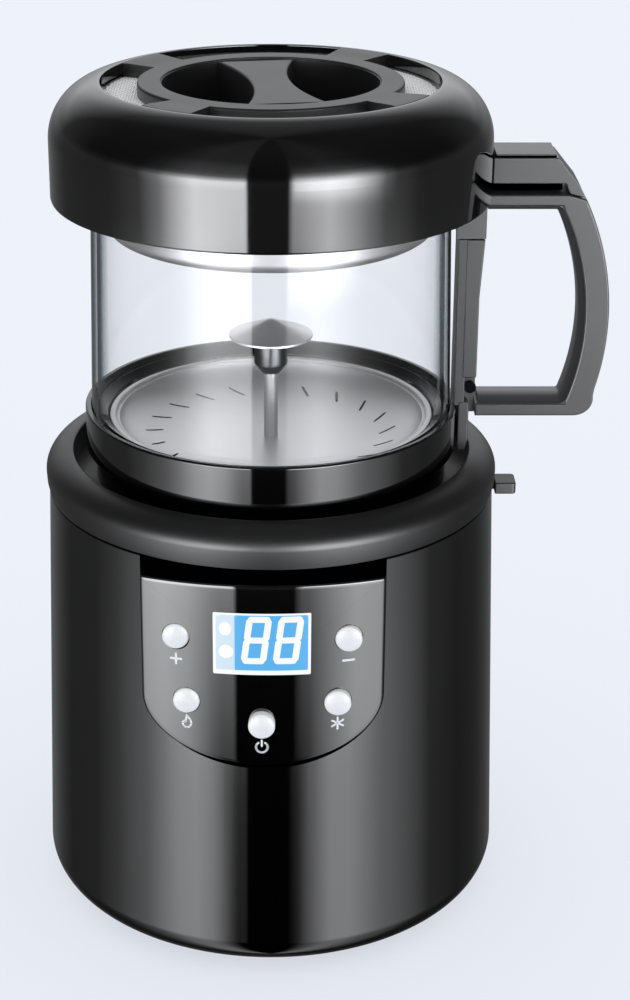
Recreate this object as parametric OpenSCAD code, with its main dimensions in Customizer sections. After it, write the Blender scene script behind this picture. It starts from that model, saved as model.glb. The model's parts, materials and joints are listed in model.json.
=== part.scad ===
// Home coffee bean roaster: hot air base, lift-off glass roasting chamber, lift-off chaff lid.
// Millimetres. The origin is on the axis of the body, in the plane that the foot stands on.
// +Z is up, the control panel faces -Y and the handle points along +X.

/* [Base] */
// Height of the rubber foot below the body
foot_h = 3; // [1.5:0.5:5]
// Width of the rubber foot
foot_w = 8; // [6:0.5:9]
// Radius of the body at its widest, near the bottom
base_r = 89; // [86:0.5:96]
// Radius of the body under the shoulder ring
shoulder_r = 84; // [82:0.5:86]
// Height of the body shell
body_h = 162; // [150:1:190]
// Radius of the rounding at the bottom of the body
base_edge_r = 12; // [6:1:16]
// Wall of the body shell
housing_wall = 2.5; // [1.5:0.25:3]
// Visible seam between the body shell and the shoulder ring
seam = 0.4; // [0.2:0.1:1]
// Thickness of the bottom cover
cover_t = 2.5; // [2:0.25:3.5]
// Height of the screw bosses above the bottom cover
boss_h = 20; // [12:1:30]
// Number of air inlet slots in the bottom cover
inlet_slots = 16; // [10:1:18]
// Bore of the cord gland
gland_bore = 7; // [5:0.5:8]
// Height of the cord gland above the underside of the body
gland_z = 20; // [16:1:40]

/* [Shoulder ring] */
// Height of the shoulder ring
ring_h = 15; // [12:0.5:18]
// Radius of the shoulder ring at its widest
ring_r = 85; // [84.5:0.5:92]
// Radius of the lip round the well
lip_r = 74.5; // [73.5:0.5:76]
// Wall of the shoulder ring
ring_wall = 2.4; // [1.5:0.1:3]
// Depth of the well below the lip
well_depth = 9.4; // [7:0.2:12]
// Radius of the air outlet in the floor of the well
outlet_r = 58; // [54:0.5:60]

/* [Control panel] */
// Turn of the control panel about the axis
panel_turn = -2.2; // [-10:0.1:10]
// Width of the control panel
panel_w = 87; // [80:0.5:92]
// Gap between the top of the panel and the top of the body shell
panel_drop = 6; // [3:0.5:10]
// Height of the straight sides of the panel
panel_side_h = 46; // [40:1:52]
// Height of the rounded bottom of the panel
panel_round_h = 25; // [22:0.5:34]
// Thickness of the panel
panel_t = 2.8; // [2:0.1:3.5]
// Width of the display
display_w = 35; // [28:0.5:40]
// Height of the display
display_h = 25; // [18:0.5:28]
// Distance of the middle of the display below the top of the panel
display_drop = 23; // [20:0.5:28]
// Diameter of a button
button_d = 9.6; // [8:0.1:10.5]
// Travel of a button
button_travel = 0.8; // [0.4:0.1:1.2]
// How far a button stands out of the panel
button_proud = 1.9; // [1.4:0.1:3]
// Distance of the two upper buttons from the middle of the panel
upper_button_x = 30.6; // [27:0.2:32]
// Distance of the two upper buttons below the top of the panel
upper_button_drop = 21.5; // [18:0.5:28]
// Distance of the two middle buttons from the middle of the panel
middle_button_x = 27; // [22:0.2:29]
// Distance of the two middle buttons below the top of the panel
middle_button_drop = 46; // [42:0.5:49]
// Distance of the power button below the top of the panel
power_button_drop = 53.5; // [52:0.5:58]

/* [Air path] */
// Gap between the screw bosses and the flange of the air duct
duct_boss_gap = 4; // [3:0.5:6]
// Radius of the upper half of the air duct, round the heater
duct_top_r = 52; // [48:0.5:54]
// Sheet thickness of the air duct
duct_t = 1.2; // [0.8:0.1:2]
// Radius of the blower wheel
wheel_r = 46; // [40:0.5:50]
// Height of the blades of the blower wheel
blade_h = 14; // [10:0.5:18]
// Number of blades
blade_count = 14; // [9:1:20]
// Thickness of a blade
blade_t = 1.4; // [1:0.1:2]
// Diameter of the motor
motor_d = 38; // [30:1:44]
// Length of the motor
motor_h = 30; // [24:1:34]
// Diameter of the motor shaft
shaft_d = 4; // [3:0.5:6]
// Turns of heater wire
coil_turns = 7; // [4:1:8]
// Radius of a turn of heater wire
coil_r = 36; // [28:0.5:40]
// Diameter of the heater wire coil
coil_d = 3; // [2:0.25:3.5]
// Thickness of a mica plate
mica_t = 1; // [0.6:0.1:2]

/* [Release button] */
// Width of the release button
release_w = 10; // [8:0.5:12]
// Height of the release button
release_h = 4.5; // [3.5:0.25:5]
// How far the release button stands out of the shoulder
release_proud = 8; // [6:0.5:11]
// Travel of the release button
release_travel = 3; // [2:0.5:4]

/* [Chamber] */
// Outer radius of the band round the foot of the glass
band_r = 69.5; // [69.2:0.1:70.5]
// Height of the band
band_h = 16.2; // [13:0.2:20]
// Gap between the lip of the base and the band
band_gap = 1.1; // [0.6:0.1:3]
// Outer radius of the glass at its foot
glass_foot_r = 67.2; // [66.8:0.1:67.4]
// Outer radius of the glass at its top
glass_top_r = 65; // [64.8:0.1:66]
// Thickness of the glass
glass_t = 2.2; // [1.6:0.1:2.6]
// Height of the glass
glass_h = 91.5; // [84:0.5:110]
// Thickness of the gasket under the glass
gasket_t = 1.5; // [1:0.1:2.5]
// Outer radius of the plug that stands in the well
plug_r = 66; // [65:0.25:67]
// Radius of the rim of the pan
pan_r = 60.4; // [60:0.1:60.6]
// Depth of the pan
pan_depth = 10; // [7:0.5:11]
// Sheet thickness of the pan
pan_t = 1; // [0.6:0.1:1.2]
// Number of air slots in the pan
pan_slots = 20; // [12:1:24]
// Diameter of the centre rod
rod_d = 5.2; // [4:0.2:7]
// Height of the underside of the hub above the pan rim
hub_gap = 15; // [12:0.5:20]
// Radius of the hub
hub_r = 6.2; // [5.5:0.1:8]
// Height of the hub
hub_h = 14.5; // [10:0.5:20]
// Radius of the deflector cap
cap_r = 15.5; // [13:0.5:20]
// Height of the deflector cap
cap_h = 6.2; // [4:0.2:9]

/* [Handle] */
// Width of the handle
handle_w = 17.5; // [14:0.5:20]
// Reach of the handle from the axis
handle_reach = 123.8; // [118:0.1:132]
// Radius of the outer curve of the grip
grip_bend_r = 101.7; // [90:0.1:130]
// Thickness of the grip
grip_t = 8.7; // [7:0.1:11]
// Thickness of the upper arm
upper_arm_t = 4.2; // [3.6:0.1:5]
// Thickness of the lower arm
lower_arm_t = 4.8; // [4:0.1:7]
// Height of the finger opening
finger_h = 75.5; // [66:0.5:84]
// Thickness of the stem beside the glass
stem_t = 8; // [7:0.1:8.4]
// Gap between the glass and the stem
stem_gap = 0.9; // [0.6:0.1:1.2]

/* [Lid] */
// Outer radius of the lid
lid_r = 79.5; // [79:0.25:84]
// Height of the lid
lid_h = 41.5; // [38:0.5:48]
// Radius of the rounding round the top of the lid
lid_round_r = 20; // [14:0.5:20]
// Wall of the lid
lid_wall = 2.4; // [1.6:0.1:3]
// How far the lid reaches down over the glass
lid_overlap = 8; // [5:0.5:10]
// Outer radius of the ring of vents
vent_out_r = 60.5; // [59:0.25:61.5]
// Inner radius of the ring of vents
vent_in_r = 47.5; // [45:0.25:50]
// Angle of each bridge between two vents
bridge_angle = 20; // [12:1:30]
// Turn of the grip and the vents about the axis
lid_turn = 8.9; // [-45:0.1:45]
// How far the grip lies below the top of the lid
insert_drop = 1.5; // [1:0.1:4]
// Radius of the finger recess
recess_r = 39.5; // [36:0.25:42]
// Depth of the finger wells
well_h = 24; // [16:0.5:24]
// Width of the finger bar at its waist
bar_waist = 14.4; // [10:0.2:24]
// Width of the finger bar at its ends
bar_end = 28.4; // [24.4:0.2:36]
// Radius of the chaff bowl
bowl_r = 59.5; // [55:0.5:60.5]
// Depth of the chaff bowl below the top of the glass
bowl_depth = 21; // [14:0.5:30]
// Sheet thickness of the chaff bowl
bowl_t = 0.8; // [0.6:0.1:1.2]
// Radius of the chimney in the chaff bowl
chimney_r = 15; // [10:0.5:22]
// Reach of the lid tab from the axis
tab_reach = 110.2; // [104:0.1:114]
// Height of the lid tab
tab_h = 10.8; // [8:0.1:13]
// Gap between the lid tab and the upper arm
tab_gap = 4.1; // [3:0.1:6]

/* [Fits] */
// Clearance between parts that are put together
fit = 0.2; // [0.1:0.05:0.3]
// Clearance between parts that move past each other
running = 0.4; // [0.3:0.05:0.5]

/* [Hidden] */
$fn = 128;

// ---- heights, from the foot up ----
z_under = foot_h;
z_body_top = z_under + body_h;
z_ring = z_body_top + seam;
z_lip = z_ring + ring_h;
z_well = z_lip - well_depth;
z_grille = z_well - ring_wall;
z_plug = z_well + running;
z_band = z_lip + band_gap;
z_band_top = z_band + band_h;
band_chamfer = 0.8;
glass_seat = 5.7;
z_groove = z_band_top - glass_seat;
z_glass = z_groove + gasket_t;
z_glass_top = z_glass + glass_h;
shelf_drop = 5.3;
z_shelf = z_band_top - shelf_drop;
z_pan_rim = z_shelf + pan_t;
z_pan_floor = z_pan_rim - pan_depth;
z_hub_floor = z_pan_floor - 0.6;
rod_below = 5.5;
hub_socket = 6;
nut_above = 1.4;
nut_r = 5.5;
z_lid = z_glass_top - lid_overlap;
z_crest = z_lid + lid_h;
z_insert = z_crest - insert_drop;

// ---- body shell ----
cone_h = body_h - base_edge_r;
function shell_r(z) = shoulder_r + (base_r - shoulder_r) * (z_body_top - z) / cone_h;

function arc(cx, cz, r, a0, a1, n) =
    [for (i = [0:n]) let (a = a0 + (a1 - a0) * i / n) [cx + r * cos(a), cz + r * sin(a)]];
function oval(cx, cz, rx, rz, a0, a1, n) =
    [for (i = [0:n]) let (a = a0 + (a1 - a0) * i / n) [cx + rx * cos(a), cz + rz * sin(a)]];

// ---- lengths shared by several pieces ----
opening_r = base_r - base_edge_r;
boss_turn = 22.5;
boss_inset = 7;
boss_circle_r = opening_r - boss_inset;
boss_r = 4;
boss_bore = 2.6;
screw_d = 3;
screw_head_d = 6;
screw_head_play = 0.6;
screw_head_h = 1.6;
foot_inset = 15;
foot_circle_r = opening_r - foot_inset;
foot_in_r = foot_circle_r - foot_w / 2;
foot_out_r = foot_circle_r + foot_w / 2;
foot_sunk = 0.8;
foot_gap_angle = 90;
gland_flange_r = gland_bore / 2 + 5;
gland_tube_r = gland_bore / 2 + 2;
gland_y = shell_r(z_under + gland_z);
panel_flange = 3;
panel_proud = 0.3;
z_panel_top = z_body_top - panel_drop;
z_panel_round = z_panel_top - panel_side_h;
z_display = z_panel_top - display_drop;
z_upper_button = z_panel_top - upper_button_drop;
z_middle_button = z_panel_top - middle_button_drop;
z_power_button = z_panel_top - power_button_drop;
lens_t = 1.4;
lens_ledge = 1.5;
board_setback = 16.2;
board_y = board_setback - shell_r(z_middle_button);
board_t = 1.6;
board_margin = 7;
module_setback = 7;
module_margin = [6, 5];
switch_h = 3.4;
button_gap = 0.2;
z_cover_top = z_under + cover_t;
duct_flange = 4;
duct_low_r = boss_circle_r - boss_r - duct_boss_gap - duct_flange;
z_wheel = z_cover_top + 9;
wheel_shroud_t = 1.2;
z_back_plate = z_wheel + wheel_shroud_t + blade_h;
back_plate_t = 1.6;
z_motor = z_back_plate + back_plate_t + 10;
shaft_below = 3;
shaft_above = 5;
duct_step_z = z_motor + motor_h + 2;
duct_cone_h = 25;
mica_gap = 8;
z_heater = duct_step_z + duct_cone_h + mica_gap;
z_duct_top = z_grille - 2;
heater_h = z_duct_top - z_heater - mica_gap;
coil_pitch = (heater_h - 6) / coil_turns;
release_z = z_body_top - release_h / 2 + 0.1;
rod_of_button_r = 1.8;
button_collar_r = 3.2;
rib_x = 70.3;
spring_x = rib_x + 1.7;
spring_wire = 0.6;
spring_turns = 3.5;
collar_x = spring_x + spring_turns * spring_wire + release_travel + 1.2;
tongue_x = 63.1;
tongue_t = 2.4;
tongue_w = 8;
nose_reach = 1.9;
latch_window = [tongue_x - nose_reach - running, tongue_x + tongue_t + release_travel + running];
latch_plate_t = 2;
latch_plate_w = 15;
nose_h = 2.6;

// ---- handle ----
handle_cx = handle_reach - grip_bend_r;
z_lower_arm = z_band_top - 3.8;
z_finger = z_lower_arm + lower_arm_t;
z_finger_top = z_finger + finger_h;
z_upper_arm = z_finger_top + upper_arm_t;
z_handle_mid = z_finger + 0.435 * finger_h;
stem_in_r = glass_foot_r + stem_gap;
stem_out_r = stem_in_r + stem_t;
strap_t = 4;
strap_in_r = band_r + 0.2;
strap_out_r = strap_in_r + strap_t;
lug_h = 12;
z_lug = z_finger_top - lug_h;
rim_t = 2.6;
rim_h = 9;
arm_root_r = stem_in_r + 3;
recess_z = z_finger + 0.6;
recess_h = 9.6;
recess_d = 4.5;
skirt_notch = 0.8;

// ---- lid ----
lid_cx = lid_r - lid_round_r;
z_lid_round = z_crest - lid_round_r;
ledge_w = 3;
ledge_drop = 4.9;
z_ledge = z_crest - ledge_drop;
ledge_t = 1.2;
mesh_t = 1.2;
z_mesh = z_ledge - ledge_t - mesh_t;
liner_t = 2;
lid_screw_inset = 5.1;
lid_screw_circle_r = lid_r - lid_wall - lid_screw_inset;
seal_gap = 0.3;
seal_t = 1.2;
z_bowl_rim = z_glass_top + seal_gap + seal_t;
z_liner = z_bowl_rim + bowl_t;
z_bowl = z_glass_top - bowl_depth;
bowl_round = 4;
insert_wall = 1.6;
z_wells = z_insert - well_h;
bar_bow = (bar_end - bar_waist) / 2;
bar_half = recess_r - 3.5;
bar_bend_r = (bar_half * bar_half + bar_bow * bar_bow) / (2 * bar_bow);
z_tab = z_upper_arm + tab_gap;
z_tab_top = z_tab + tab_h;
tab_slope = 8.8;
tab_tip = 3.2;
tip_x = tab_reach - tab_tip;
tip_end_x = tab_reach + 3;
tip_fall = 0.31;
function tip_z(x) = z_upper_arm - tip_fall * (x - tip_x);
// How deep a piece is let into the one it is moulded to
seat = 0.4;
chimney_gap = 8;

// ---- helpers ----
module turn_profile(points) {
    rotate_extrude() polygon(points);
}

module tube(z0, z1, outer, inner) {
    translate([0, 0, z0]) difference() {
        cylinder(h = z1 - z0, r = outer);
        translate([0, 0, -1]) cylinder(h = z1 - z0 + 2, r = inner);
    }
}

module at_panel() {
    rotate([0, 0, panel_turn]) children();
}

// A cylinder along Y, from y0 to y1.
module rod_y(x, z, y0, y1, r) {
    translate([x, y0, z]) rotate([-90, 0, 0]) cylinder(h = y1 - y0, r = r);
}

// A cylinder along X, from x0 to x1.
module rod_x(x0, x1, z, r) {
    translate([x0, 0, z]) rotate([0, 90, 0]) cylinder(h = x1 - x0, r = r);
}

// A plate in the XZ plane, w wide across Y.
module slab_y(points, w) {
    translate([0, w / 2, 0]) rotate([90, 0, 0]) linear_extrude(height = w) polygon(points);
}

module screw(z, head_up) {
    translate([0, 0, z]) mirror([0, 0, head_up ? 0 : 1]) {
        translate([0, 0, -8]) cylinder(h = 8.2, d = screw_d - 0.5, $fn = 24);
        difference() {
            cylinder(h = screw_head_h, d = screw_head_d - screw_head_play, $fn = 32);
            translate([0, 0, 0.7]) cylinder(h = 2, d = 2.6, $fn = 6);
        }
    }
}

// ---- base ----
// The gap of the horseshoe foot at the back, where air and the cord pass.
module foot_gap() {
    half = foot_gap_angle / 2;
    reach = 2 * foot_circle_r;
    translate([0, 0, -1]) linear_extrude(height = z_under + cover_t + 2)
        polygon([[0, 0], [reach * sin(half), reach * cos(half)],
            [-reach * sin(half), reach * cos(half)]]);
}

module rubber_foot() {
    edge = 1;
    z_top = z_under + foot_sunk;
    color("#151516")
    difference() {
        turn_profile([[foot_in_r, z_top], [foot_in_r, edge], [foot_in_r + edge, 0],
            [foot_out_r - edge, 0], [foot_out_r, edge], [foot_out_r, z_top]]);
        foot_gap();
    }
}

module inlet_slot() {
    slot_w = 3;
    slot_in = 10;
    slot_out = 27;
    translate([0, 0, z_under - 1]) {
        translate([slot_in, -slot_w / 2, 0]) cube([slot_out - slot_in, slot_w, cover_t + 2]);
        translate([slot_out, 0, 0]) cylinder(h = cover_t + 2, d = slot_w, $fn = 24);
    }
}

module bottom_cover() {
    color("#1c1c1e")
    difference() {
        translate([0, 0, z_under]) cylinder(h = cover_t, r = opening_r - fit);
        difference() {
            tube(z_under - 1, z_under + foot_sunk, foot_out_r, foot_in_r);
            foot_gap();
        }
        for (i = [0:3]) rotate([0, 0, boss_turn + 90 * i])
            translate([boss_circle_r, 0, z_under - 1]) {
                cylinder(h = cover_t + 2, d = screw_d + 0.4, $fn = 32);
                cylinder(h = 1 + screw_head_h, d = screw_head_d, $fn = 48);
            }
        for (i = [0:inlet_slots - 1]) rotate([0, 0, 360 / inlet_slots * i]) inlet_slot();
    }
}

module bottom_screws() {
    color("#8d9093")
    for (i = [0:3]) rotate([0, 0, boss_turn + 90 * i]) translate([boss_circle_r, 0, 0])
        screw(z_under + screw_head_h, false);
}

// The outline of the control panel in the XZ plane, grown by g, with its top at z_top.
function panel_outline(g, z_top) = concat(
    [[panel_w / 2 + g, z_top]],
    oval(0, z_panel_round, panel_w / 2 + g, panel_round_h + g, 0, -180, 24),
    [[-panel_w / 2 - g, z_top]]);

module panel_prism(g, z_top) {
    rotate([90, 0, 0]) linear_extrude(height = base_r + 10) polygon(panel_outline(g, z_top));
}

// A shell that follows the body, from out to in millimetres inside its surface.
module body_shell(out, in, z0, z1) {
    turn_profile([[shell_r(z0) - out, z0], [shell_r(z1) - out, z1],
        [shell_r(z1) - in, z1], [shell_r(z0) - in, z0]]);
}

module screw_boss() {
    rotate([0, 0, boss_turn]) {
        translate([boss_circle_r, 0, z_cover_top]) cylinder(h = boss_h, r = boss_r, $fn = 48);
        translate([boss_circle_r, -1, z_cover_top])
            cube([base_r - housing_wall / 2 - boss_circle_r - 4, 2, boss_h]);
    }
}

module housing_skin(r_in) {
    turn_profile(concat(
        [[opening_r, z_under]],
        arc(opening_r, z_under + base_edge_r, base_edge_r, -90, 0, 10),
        [[shoulder_r, z_body_top], [shoulder_r - r_in, z_body_top]],
        arc(opening_r, z_under + base_edge_r, base_edge_r - r_in, 0, -90, 10)));
}

module housing() {
    color("#141416")
    difference() {
        union() {
            housing_skin(housing_wall);
            intersection() {
                for (i = [0:3]) rotate([0, 0, 90 * i]) screw_boss();
                turn_profile(concat([[0, z_under], [opening_r, z_under]],
                    arc(opening_r, z_under + base_edge_r, base_edge_r - 0.5, -90, 0, 10),
                    [[base_r - 0.5, z_body_top], [0, z_body_top]]));
            }
        }
        at_panel() panel_prism(0, z_body_top + 1);
        for (i = [0:3]) rotate([0, 0, boss_turn + 90 * i])
            translate([boss_circle_r, 0, z_under]) cylinder(h = boss_h, d = boss_bore, $fn = 32);
        rod_y(0, z_under + gland_z, gland_y - 12, gland_y + 5, gland_tube_r + 0.05);
        release_notch();
    }
}

// The way through the body for the neck of the release button.
module release_notch() {
    translate([shoulder_r - 8, -release_w / 2 - running, release_z - release_h / 2 - running])
        cube([14, release_w + 2 * running, release_h + 2 * running]);
}

module cord_gland() {
    color("#19191b")
    difference() {
        union() {
            rod_y(0, z_under + gland_z, gland_y - 9, gland_y + 1, gland_tube_r);
            difference() {
                rod_y(0, z_under + gland_z, gland_y - 2, gland_y + 2.2, gland_flange_r);
                translate([0, 0, z_under])
                    cylinder(h = body_h, r1 = shell_r(z_under), r2 = shell_r(z_body_top));
            }
            rod_y(0, z_under + gland_z, gland_y - 9, gland_y - 5.5, gland_tube_r + 1.6);
        }
        rod_y(0, z_under + gland_z, gland_y - 10, gland_y + 4, gland_bore / 2);
    }
}

module shoulder_ring() {
    spigot_r = shoulder_r - housing_wall - fit;
    spigot_h = 6;
    crown_cx = lip_r + 0.8;
    crown_rz = z_lip - z_ring - 7.2;
    crown_z = z_lip - crown_rz;
    inner_r = lip_r + ring_wall;
    inner_rx = ring_r - crown_cx - ring_wall;
    color("#1d1d1f")
    difference() {
        union() {
            turn_profile(concat(
                [[spigot_r, z_ring - spigot_h], [spigot_r, z_ring], [shoulder_r, z_ring],
                    [(shoulder_r + ring_r) / 2 + 0.3, (z_ring + crown_z) / 2]],
                oval(crown_cx, crown_z, ring_r - crown_cx, crown_rz, 0, 90, 14),
                [[lip_r + 0.2, z_lip - 0.2], [lip_r, z_lip - 0.7], [lip_r, z_well],
                    [outlet_r, z_well], [outlet_r, z_grille], [inner_r, z_grille]],
                [[inner_r, z_lip - ring_wall - 0.4]],
                oval(crown_cx, crown_z, inner_rx, crown_rz - ring_wall, 70, 0, 8),
                [[spigot_r - 2, z_ring + 1.2], [spigot_r - 2, z_ring - spigot_h]]));
            // rib that guides the release button and holds its spring
            translate([rib_x, -6, release_z - 4]) cube([spring_x - rib_x, 12, z_grille - release_z + 5]);
        }
        release_notch();
        rod_x(rib_x - 1, spring_x + 1, release_z, rod_of_button_r + running);
        rod_x(spring_x, spigot_r + 1, release_z, button_collar_r + running);
        translate([tongue_x - running - nose_reach, -tongue_w / 2 - running, z_grille - 1])
            cube([tongue_t + nose_reach + 2 * running, tongue_w + 2 * running, ring_wall + 2]);
    }
}

module outlet_grille() {
    grille_rows = [[12, 16], [20, 28], [28, 40]];
    color("#9a9c9e")
    difference() {
        translate([0, 0, z_grille - 2]) cylinder(h = 2, r = outlet_r + 2);
        for (row = grille_rows) for (i = [0:row[0] - 1]) rotate([0, 0, 360 / row[0] * i])
            translate([row[1], 0, z_grille - 3]) cylinder(h = 4, r = 1.8, $fn = 16);
        translate([tongue_x - 6, -tongue_w, z_grille - 3]) cube([10, 2 * tongue_w, 4]);
    }
}

// ---- blower and heater ----
module air_duct() {
    color("#a7a9ab")
    turn_profile([[duct_low_r - duct_t, z_cover_top], [duct_low_r + duct_flange, z_cover_top],
        [duct_low_r + duct_flange, z_cover_top + duct_t], [duct_low_r, z_cover_top + duct_t],
        [duct_low_r, duct_step_z], [duct_top_r, duct_step_z + duct_cone_h],
        [duct_top_r, z_duct_top], [duct_top_r - duct_t, z_duct_top],
        [duct_top_r - duct_t, duct_step_z + duct_cone_h], [duct_low_r - duct_t, duct_step_z]]);
}

module motor_mount() {
    mount_h = 6;
    arm_w = 8;
    z_mount = z_motor + 4;
    color("#2b2c2e")
    difference() {
        union() {
            translate([0, 0, z_mount]) cylinder(h = mount_h, d = motor_d + 6);
            for (i = [0:2]) rotate([0, 0, 30 + 120 * i]) translate([0, -arm_w / 2, z_mount])
                cube([duct_low_r, arm_w, mount_h]);
        }
        translate([0, 0, z_mount - 1]) cylinder(h = mount_h + 2, d = motor_d + 0.1);
        tube(z_mount - 1, z_mount + mount_h + 1, duct_low_r + 5, duct_low_r - duct_t);
    }
}

module blower_motor() {
    nose_r = 7;
    color("#8f9296")
    difference() {
        union() {
            turn_profile([[0, z_motor], [motor_d / 2 - 1.5, z_motor], [motor_d / 2, z_motor + 1.5],
                [motor_d / 2, z_motor + motor_h - 1.5], [motor_d / 2 - 1.5, z_motor + motor_h],
                [0, z_motor + motor_h]]);
            translate([0, 0, z_motor - 2.5]) cylinder(h = 3, r = nose_r);
            translate([0, 0, z_motor + motor_h - 0.5]) cylinder(h = 2.5, r = nose_r);
        }
        translate([0, 0, z_motor - 5]) cylinder(h = motor_h + 10, d = shaft_d + 0.1);
    }
}

module motor_shaft() {
    color("#b9bcbf")
    translate([0, 0, z_wheel - shaft_below])
        cylinder(h = z_motor + motor_h + shaft_above - z_wheel + shaft_below, d = shaft_d);
}

// One backward-curved blade, an arc of a circle between the eye and the rim of the wheel.
module blade() {
    eye_r = 24;
    rim_r = wheel_r - 1;
    bend_r = 30;
    mid_r = (eye_r + wheel_r) / 2;
    translate([0, 0, z_wheel + wheel_shroud_t - seat]) linear_extrude(height = blade_h + 2 * seat)
    intersection() {
        difference() {
            circle(r = rim_r);
            circle(r = eye_r);
        }
        translate([mid_r - bend_r * sin(40), -bend_r * cos(40), 0]) difference() {
            circle(r = bend_r + blade_t / 2);
            circle(r = bend_r - blade_t / 2);
        }
        translate([0, -wheel_r * 0.35, 0]) square([wheel_r, wheel_r]);
    }
}

module blower_wheel() {
    hub_radius = 7;
    color("#34363a")
    difference() {
        union() {
            translate([0, 0, z_back_plate]) cylinder(h = back_plate_t, r = wheel_r);
            translate([0, 0, z_wheel]) cylinder(h = z_back_plate - z_wheel + 1, r = hub_radius);
            tube(z_wheel, z_wheel + wheel_shroud_t, wheel_r, 26);
            for (i = [0:blade_count - 1]) rotate([0, 0, 360 / blade_count * i]) blade();
        }
        translate([0, 0, z_wheel - 1])
            cylinder(h = z_back_plate - z_wheel + back_plate_t + 2, d = shaft_d);
    }
}

module coil_rings(r) {
    for (i = [0:coil_turns - 1]) translate([0, 0, z_heater + 3 + coil_pitch * (i + 0.5)])
        rotate_extrude() translate([coil_r, 0]) circle(r = r, $fn = 24);
}

module heater_frame() {
    color("#b8a98a")
    difference() {
        union() {
            for (i = [0:3]) rotate([0, 0, 45 * i]) translate([-coil_r, -mica_t / 2, z_heater])
                cube([2 * coil_r, mica_t, heater_h]);
            for (z = [z_heater - mica_t, z_heater + heater_h]) translate([0, 0, z])
                difference() {
                    cylinder(h = mica_t, r = duct_top_r - duct_t);
                    for (i = [0:7]) rotate([0, 0, 22.5 + 45 * i]) translate([27, 0, -1])
                        cylinder(h = mica_t + 2, r = 8, $fn = 32);
                }
        }
        coil_rings(coil_d / 2 + 0.02);
    }
}

module heater_coil() {
    color("#7c7f84") coil_rings(coil_d / 2);
}

// ---- control panel ----
button_places = [[-upper_button_x, z_upper_button], [upper_button_x, z_upper_button],
    [-middle_button_x, z_middle_button], [middle_button_x, z_middle_button], [0, z_power_button]];

module button_bores() {
    for (b = button_places)
        rod_y(b[0], b[1], -base_r - 5, -60, button_d / 2 + fit);
}

module display_block(w, h, y0, y1) {
    translate([-w / 2, y0, z_display - h / 2]) cube([w, y1 - y0, h]);
}

module control_panel() {
    z_low = z_panel_round - panel_round_h - panel_flange - 2;
    z_high = z_ring - 1;
    color("#1a1a1c")
    at_panel() difference() {
        union() {
            intersection() {
                body_shell(-panel_proud, panel_t, z_low, z_high);
                panel_prism(-fit, z_panel_top);
            }
            intersection() {
                body_shell(housing_wall + 0.1, housing_wall + 1.7, z_low, z_body_top - 7);
                panel_prism(panel_flange, z_body_top - 7);
            }
        }
        button_bores();
        display_block(display_w - 2 * lens_ledge, display_h - 2 * lens_ledge, -base_r - 5, -60);
        intersection() {
            body_shell(-2, lens_t, z_display - 20, z_display + 20);
            display_block(display_w, display_h, -base_r - 5, -60);
        }
    }
}

module display_window() {
    color("#dfe9f2", 0.5)
    at_panel() intersection() {
        body_shell(-panel_proud - 0.1, lens_t, z_display - 20, z_display + 20);
        display_block(display_w - 2 * fit, display_h - 2 * fit, -base_r - 5, -60);
    }
}

module display_module() {
    front_y = -(shell_r(z_display) - module_setback);
    color("#7fc4f0")
    at_panel()
        display_block(display_w - module_margin[0], display_h - module_margin[1], front_y, board_y);
}

module control_board() {
    board_w = 74;
    z_board = z_power_button - board_margin;
    color("#2e5d3a")
    at_panel() translate([-board_w / 2, board_y, z_board])
        cube([board_w, board_t, z_upper_button + board_margin - z_board]);
}

module key_switches() {
    color("#303234")
    at_panel()
    for (b = button_places)
        translate([b[0] - 3, board_y - switch_h, b[1] - 3]) cube([6, switch_h, 6]);
}

// A domed button that slides along Y. face_y is where the body surface is at its middle.
module button(x, z) {
    face_y = -sqrt(pow(shell_r(z), 2) - x * x) - panel_proud - button_proud;
    back_y = board_y - switch_h - button_travel - button_gap;
    dome_r = 16;
    stem_r = 3;
    color("#f2f3f4")
    at_panel() union() {
        intersection() {
            rod_y(x, z, face_y - 1, back_y - 1.4, button_d / 2);
            translate([x, face_y + dome_r, z]) sphere(r = dome_r);
        }
        rod_y(x, z, back_y - 2, back_y, stem_r);
    }
}

module button_time_up() { button(-upper_button_x, z_upper_button); }

module button_time_down() { button(upper_button_x, z_upper_button); }

module button_roast() { button(-middle_button_x, z_middle_button); }

module button_cool() { button(middle_button_x, z_middle_button); }

module button_power() { button(0, z_power_button); }

// ---- release button of the chamber ----
module release_button() {
    pad_x = shoulder_r + 1.2;
    plate_in = latch_window[0] - 3.4;
    plate_out = latch_window[1] + 1.2;
    color("#18181a")
    difference() {
        union() {
            translate([pad_x, 0, release_z]) difference() {
                translate([0, -release_w / 2, -release_h / 2])
                    cube([release_proud, release_w, release_h]);
                for (s = [-1, 1]) translate([release_proud, s * release_w / 2, 0])
                    rotate([0, 0, 45]) cube([1.6, 1.6, 20], center = true);
            }
            rod_x(plate_out - 1, pad_x + 1, release_z, rod_of_button_r);
            rod_x(collar_x, collar_x + 1.4, release_z, button_collar_r);
            translate([plate_in, -latch_plate_w / 2, release_z - latch_plate_t / 2])
                cube([plate_out - plate_in, latch_plate_w, latch_plate_t]);
        }
        translate([latch_window[0], -tongue_w / 2 - 0.6, release_z - 5])
            cube([latch_window[1] - latch_window[0], tongue_w + 1.2, 10]);
    }
}

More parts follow.
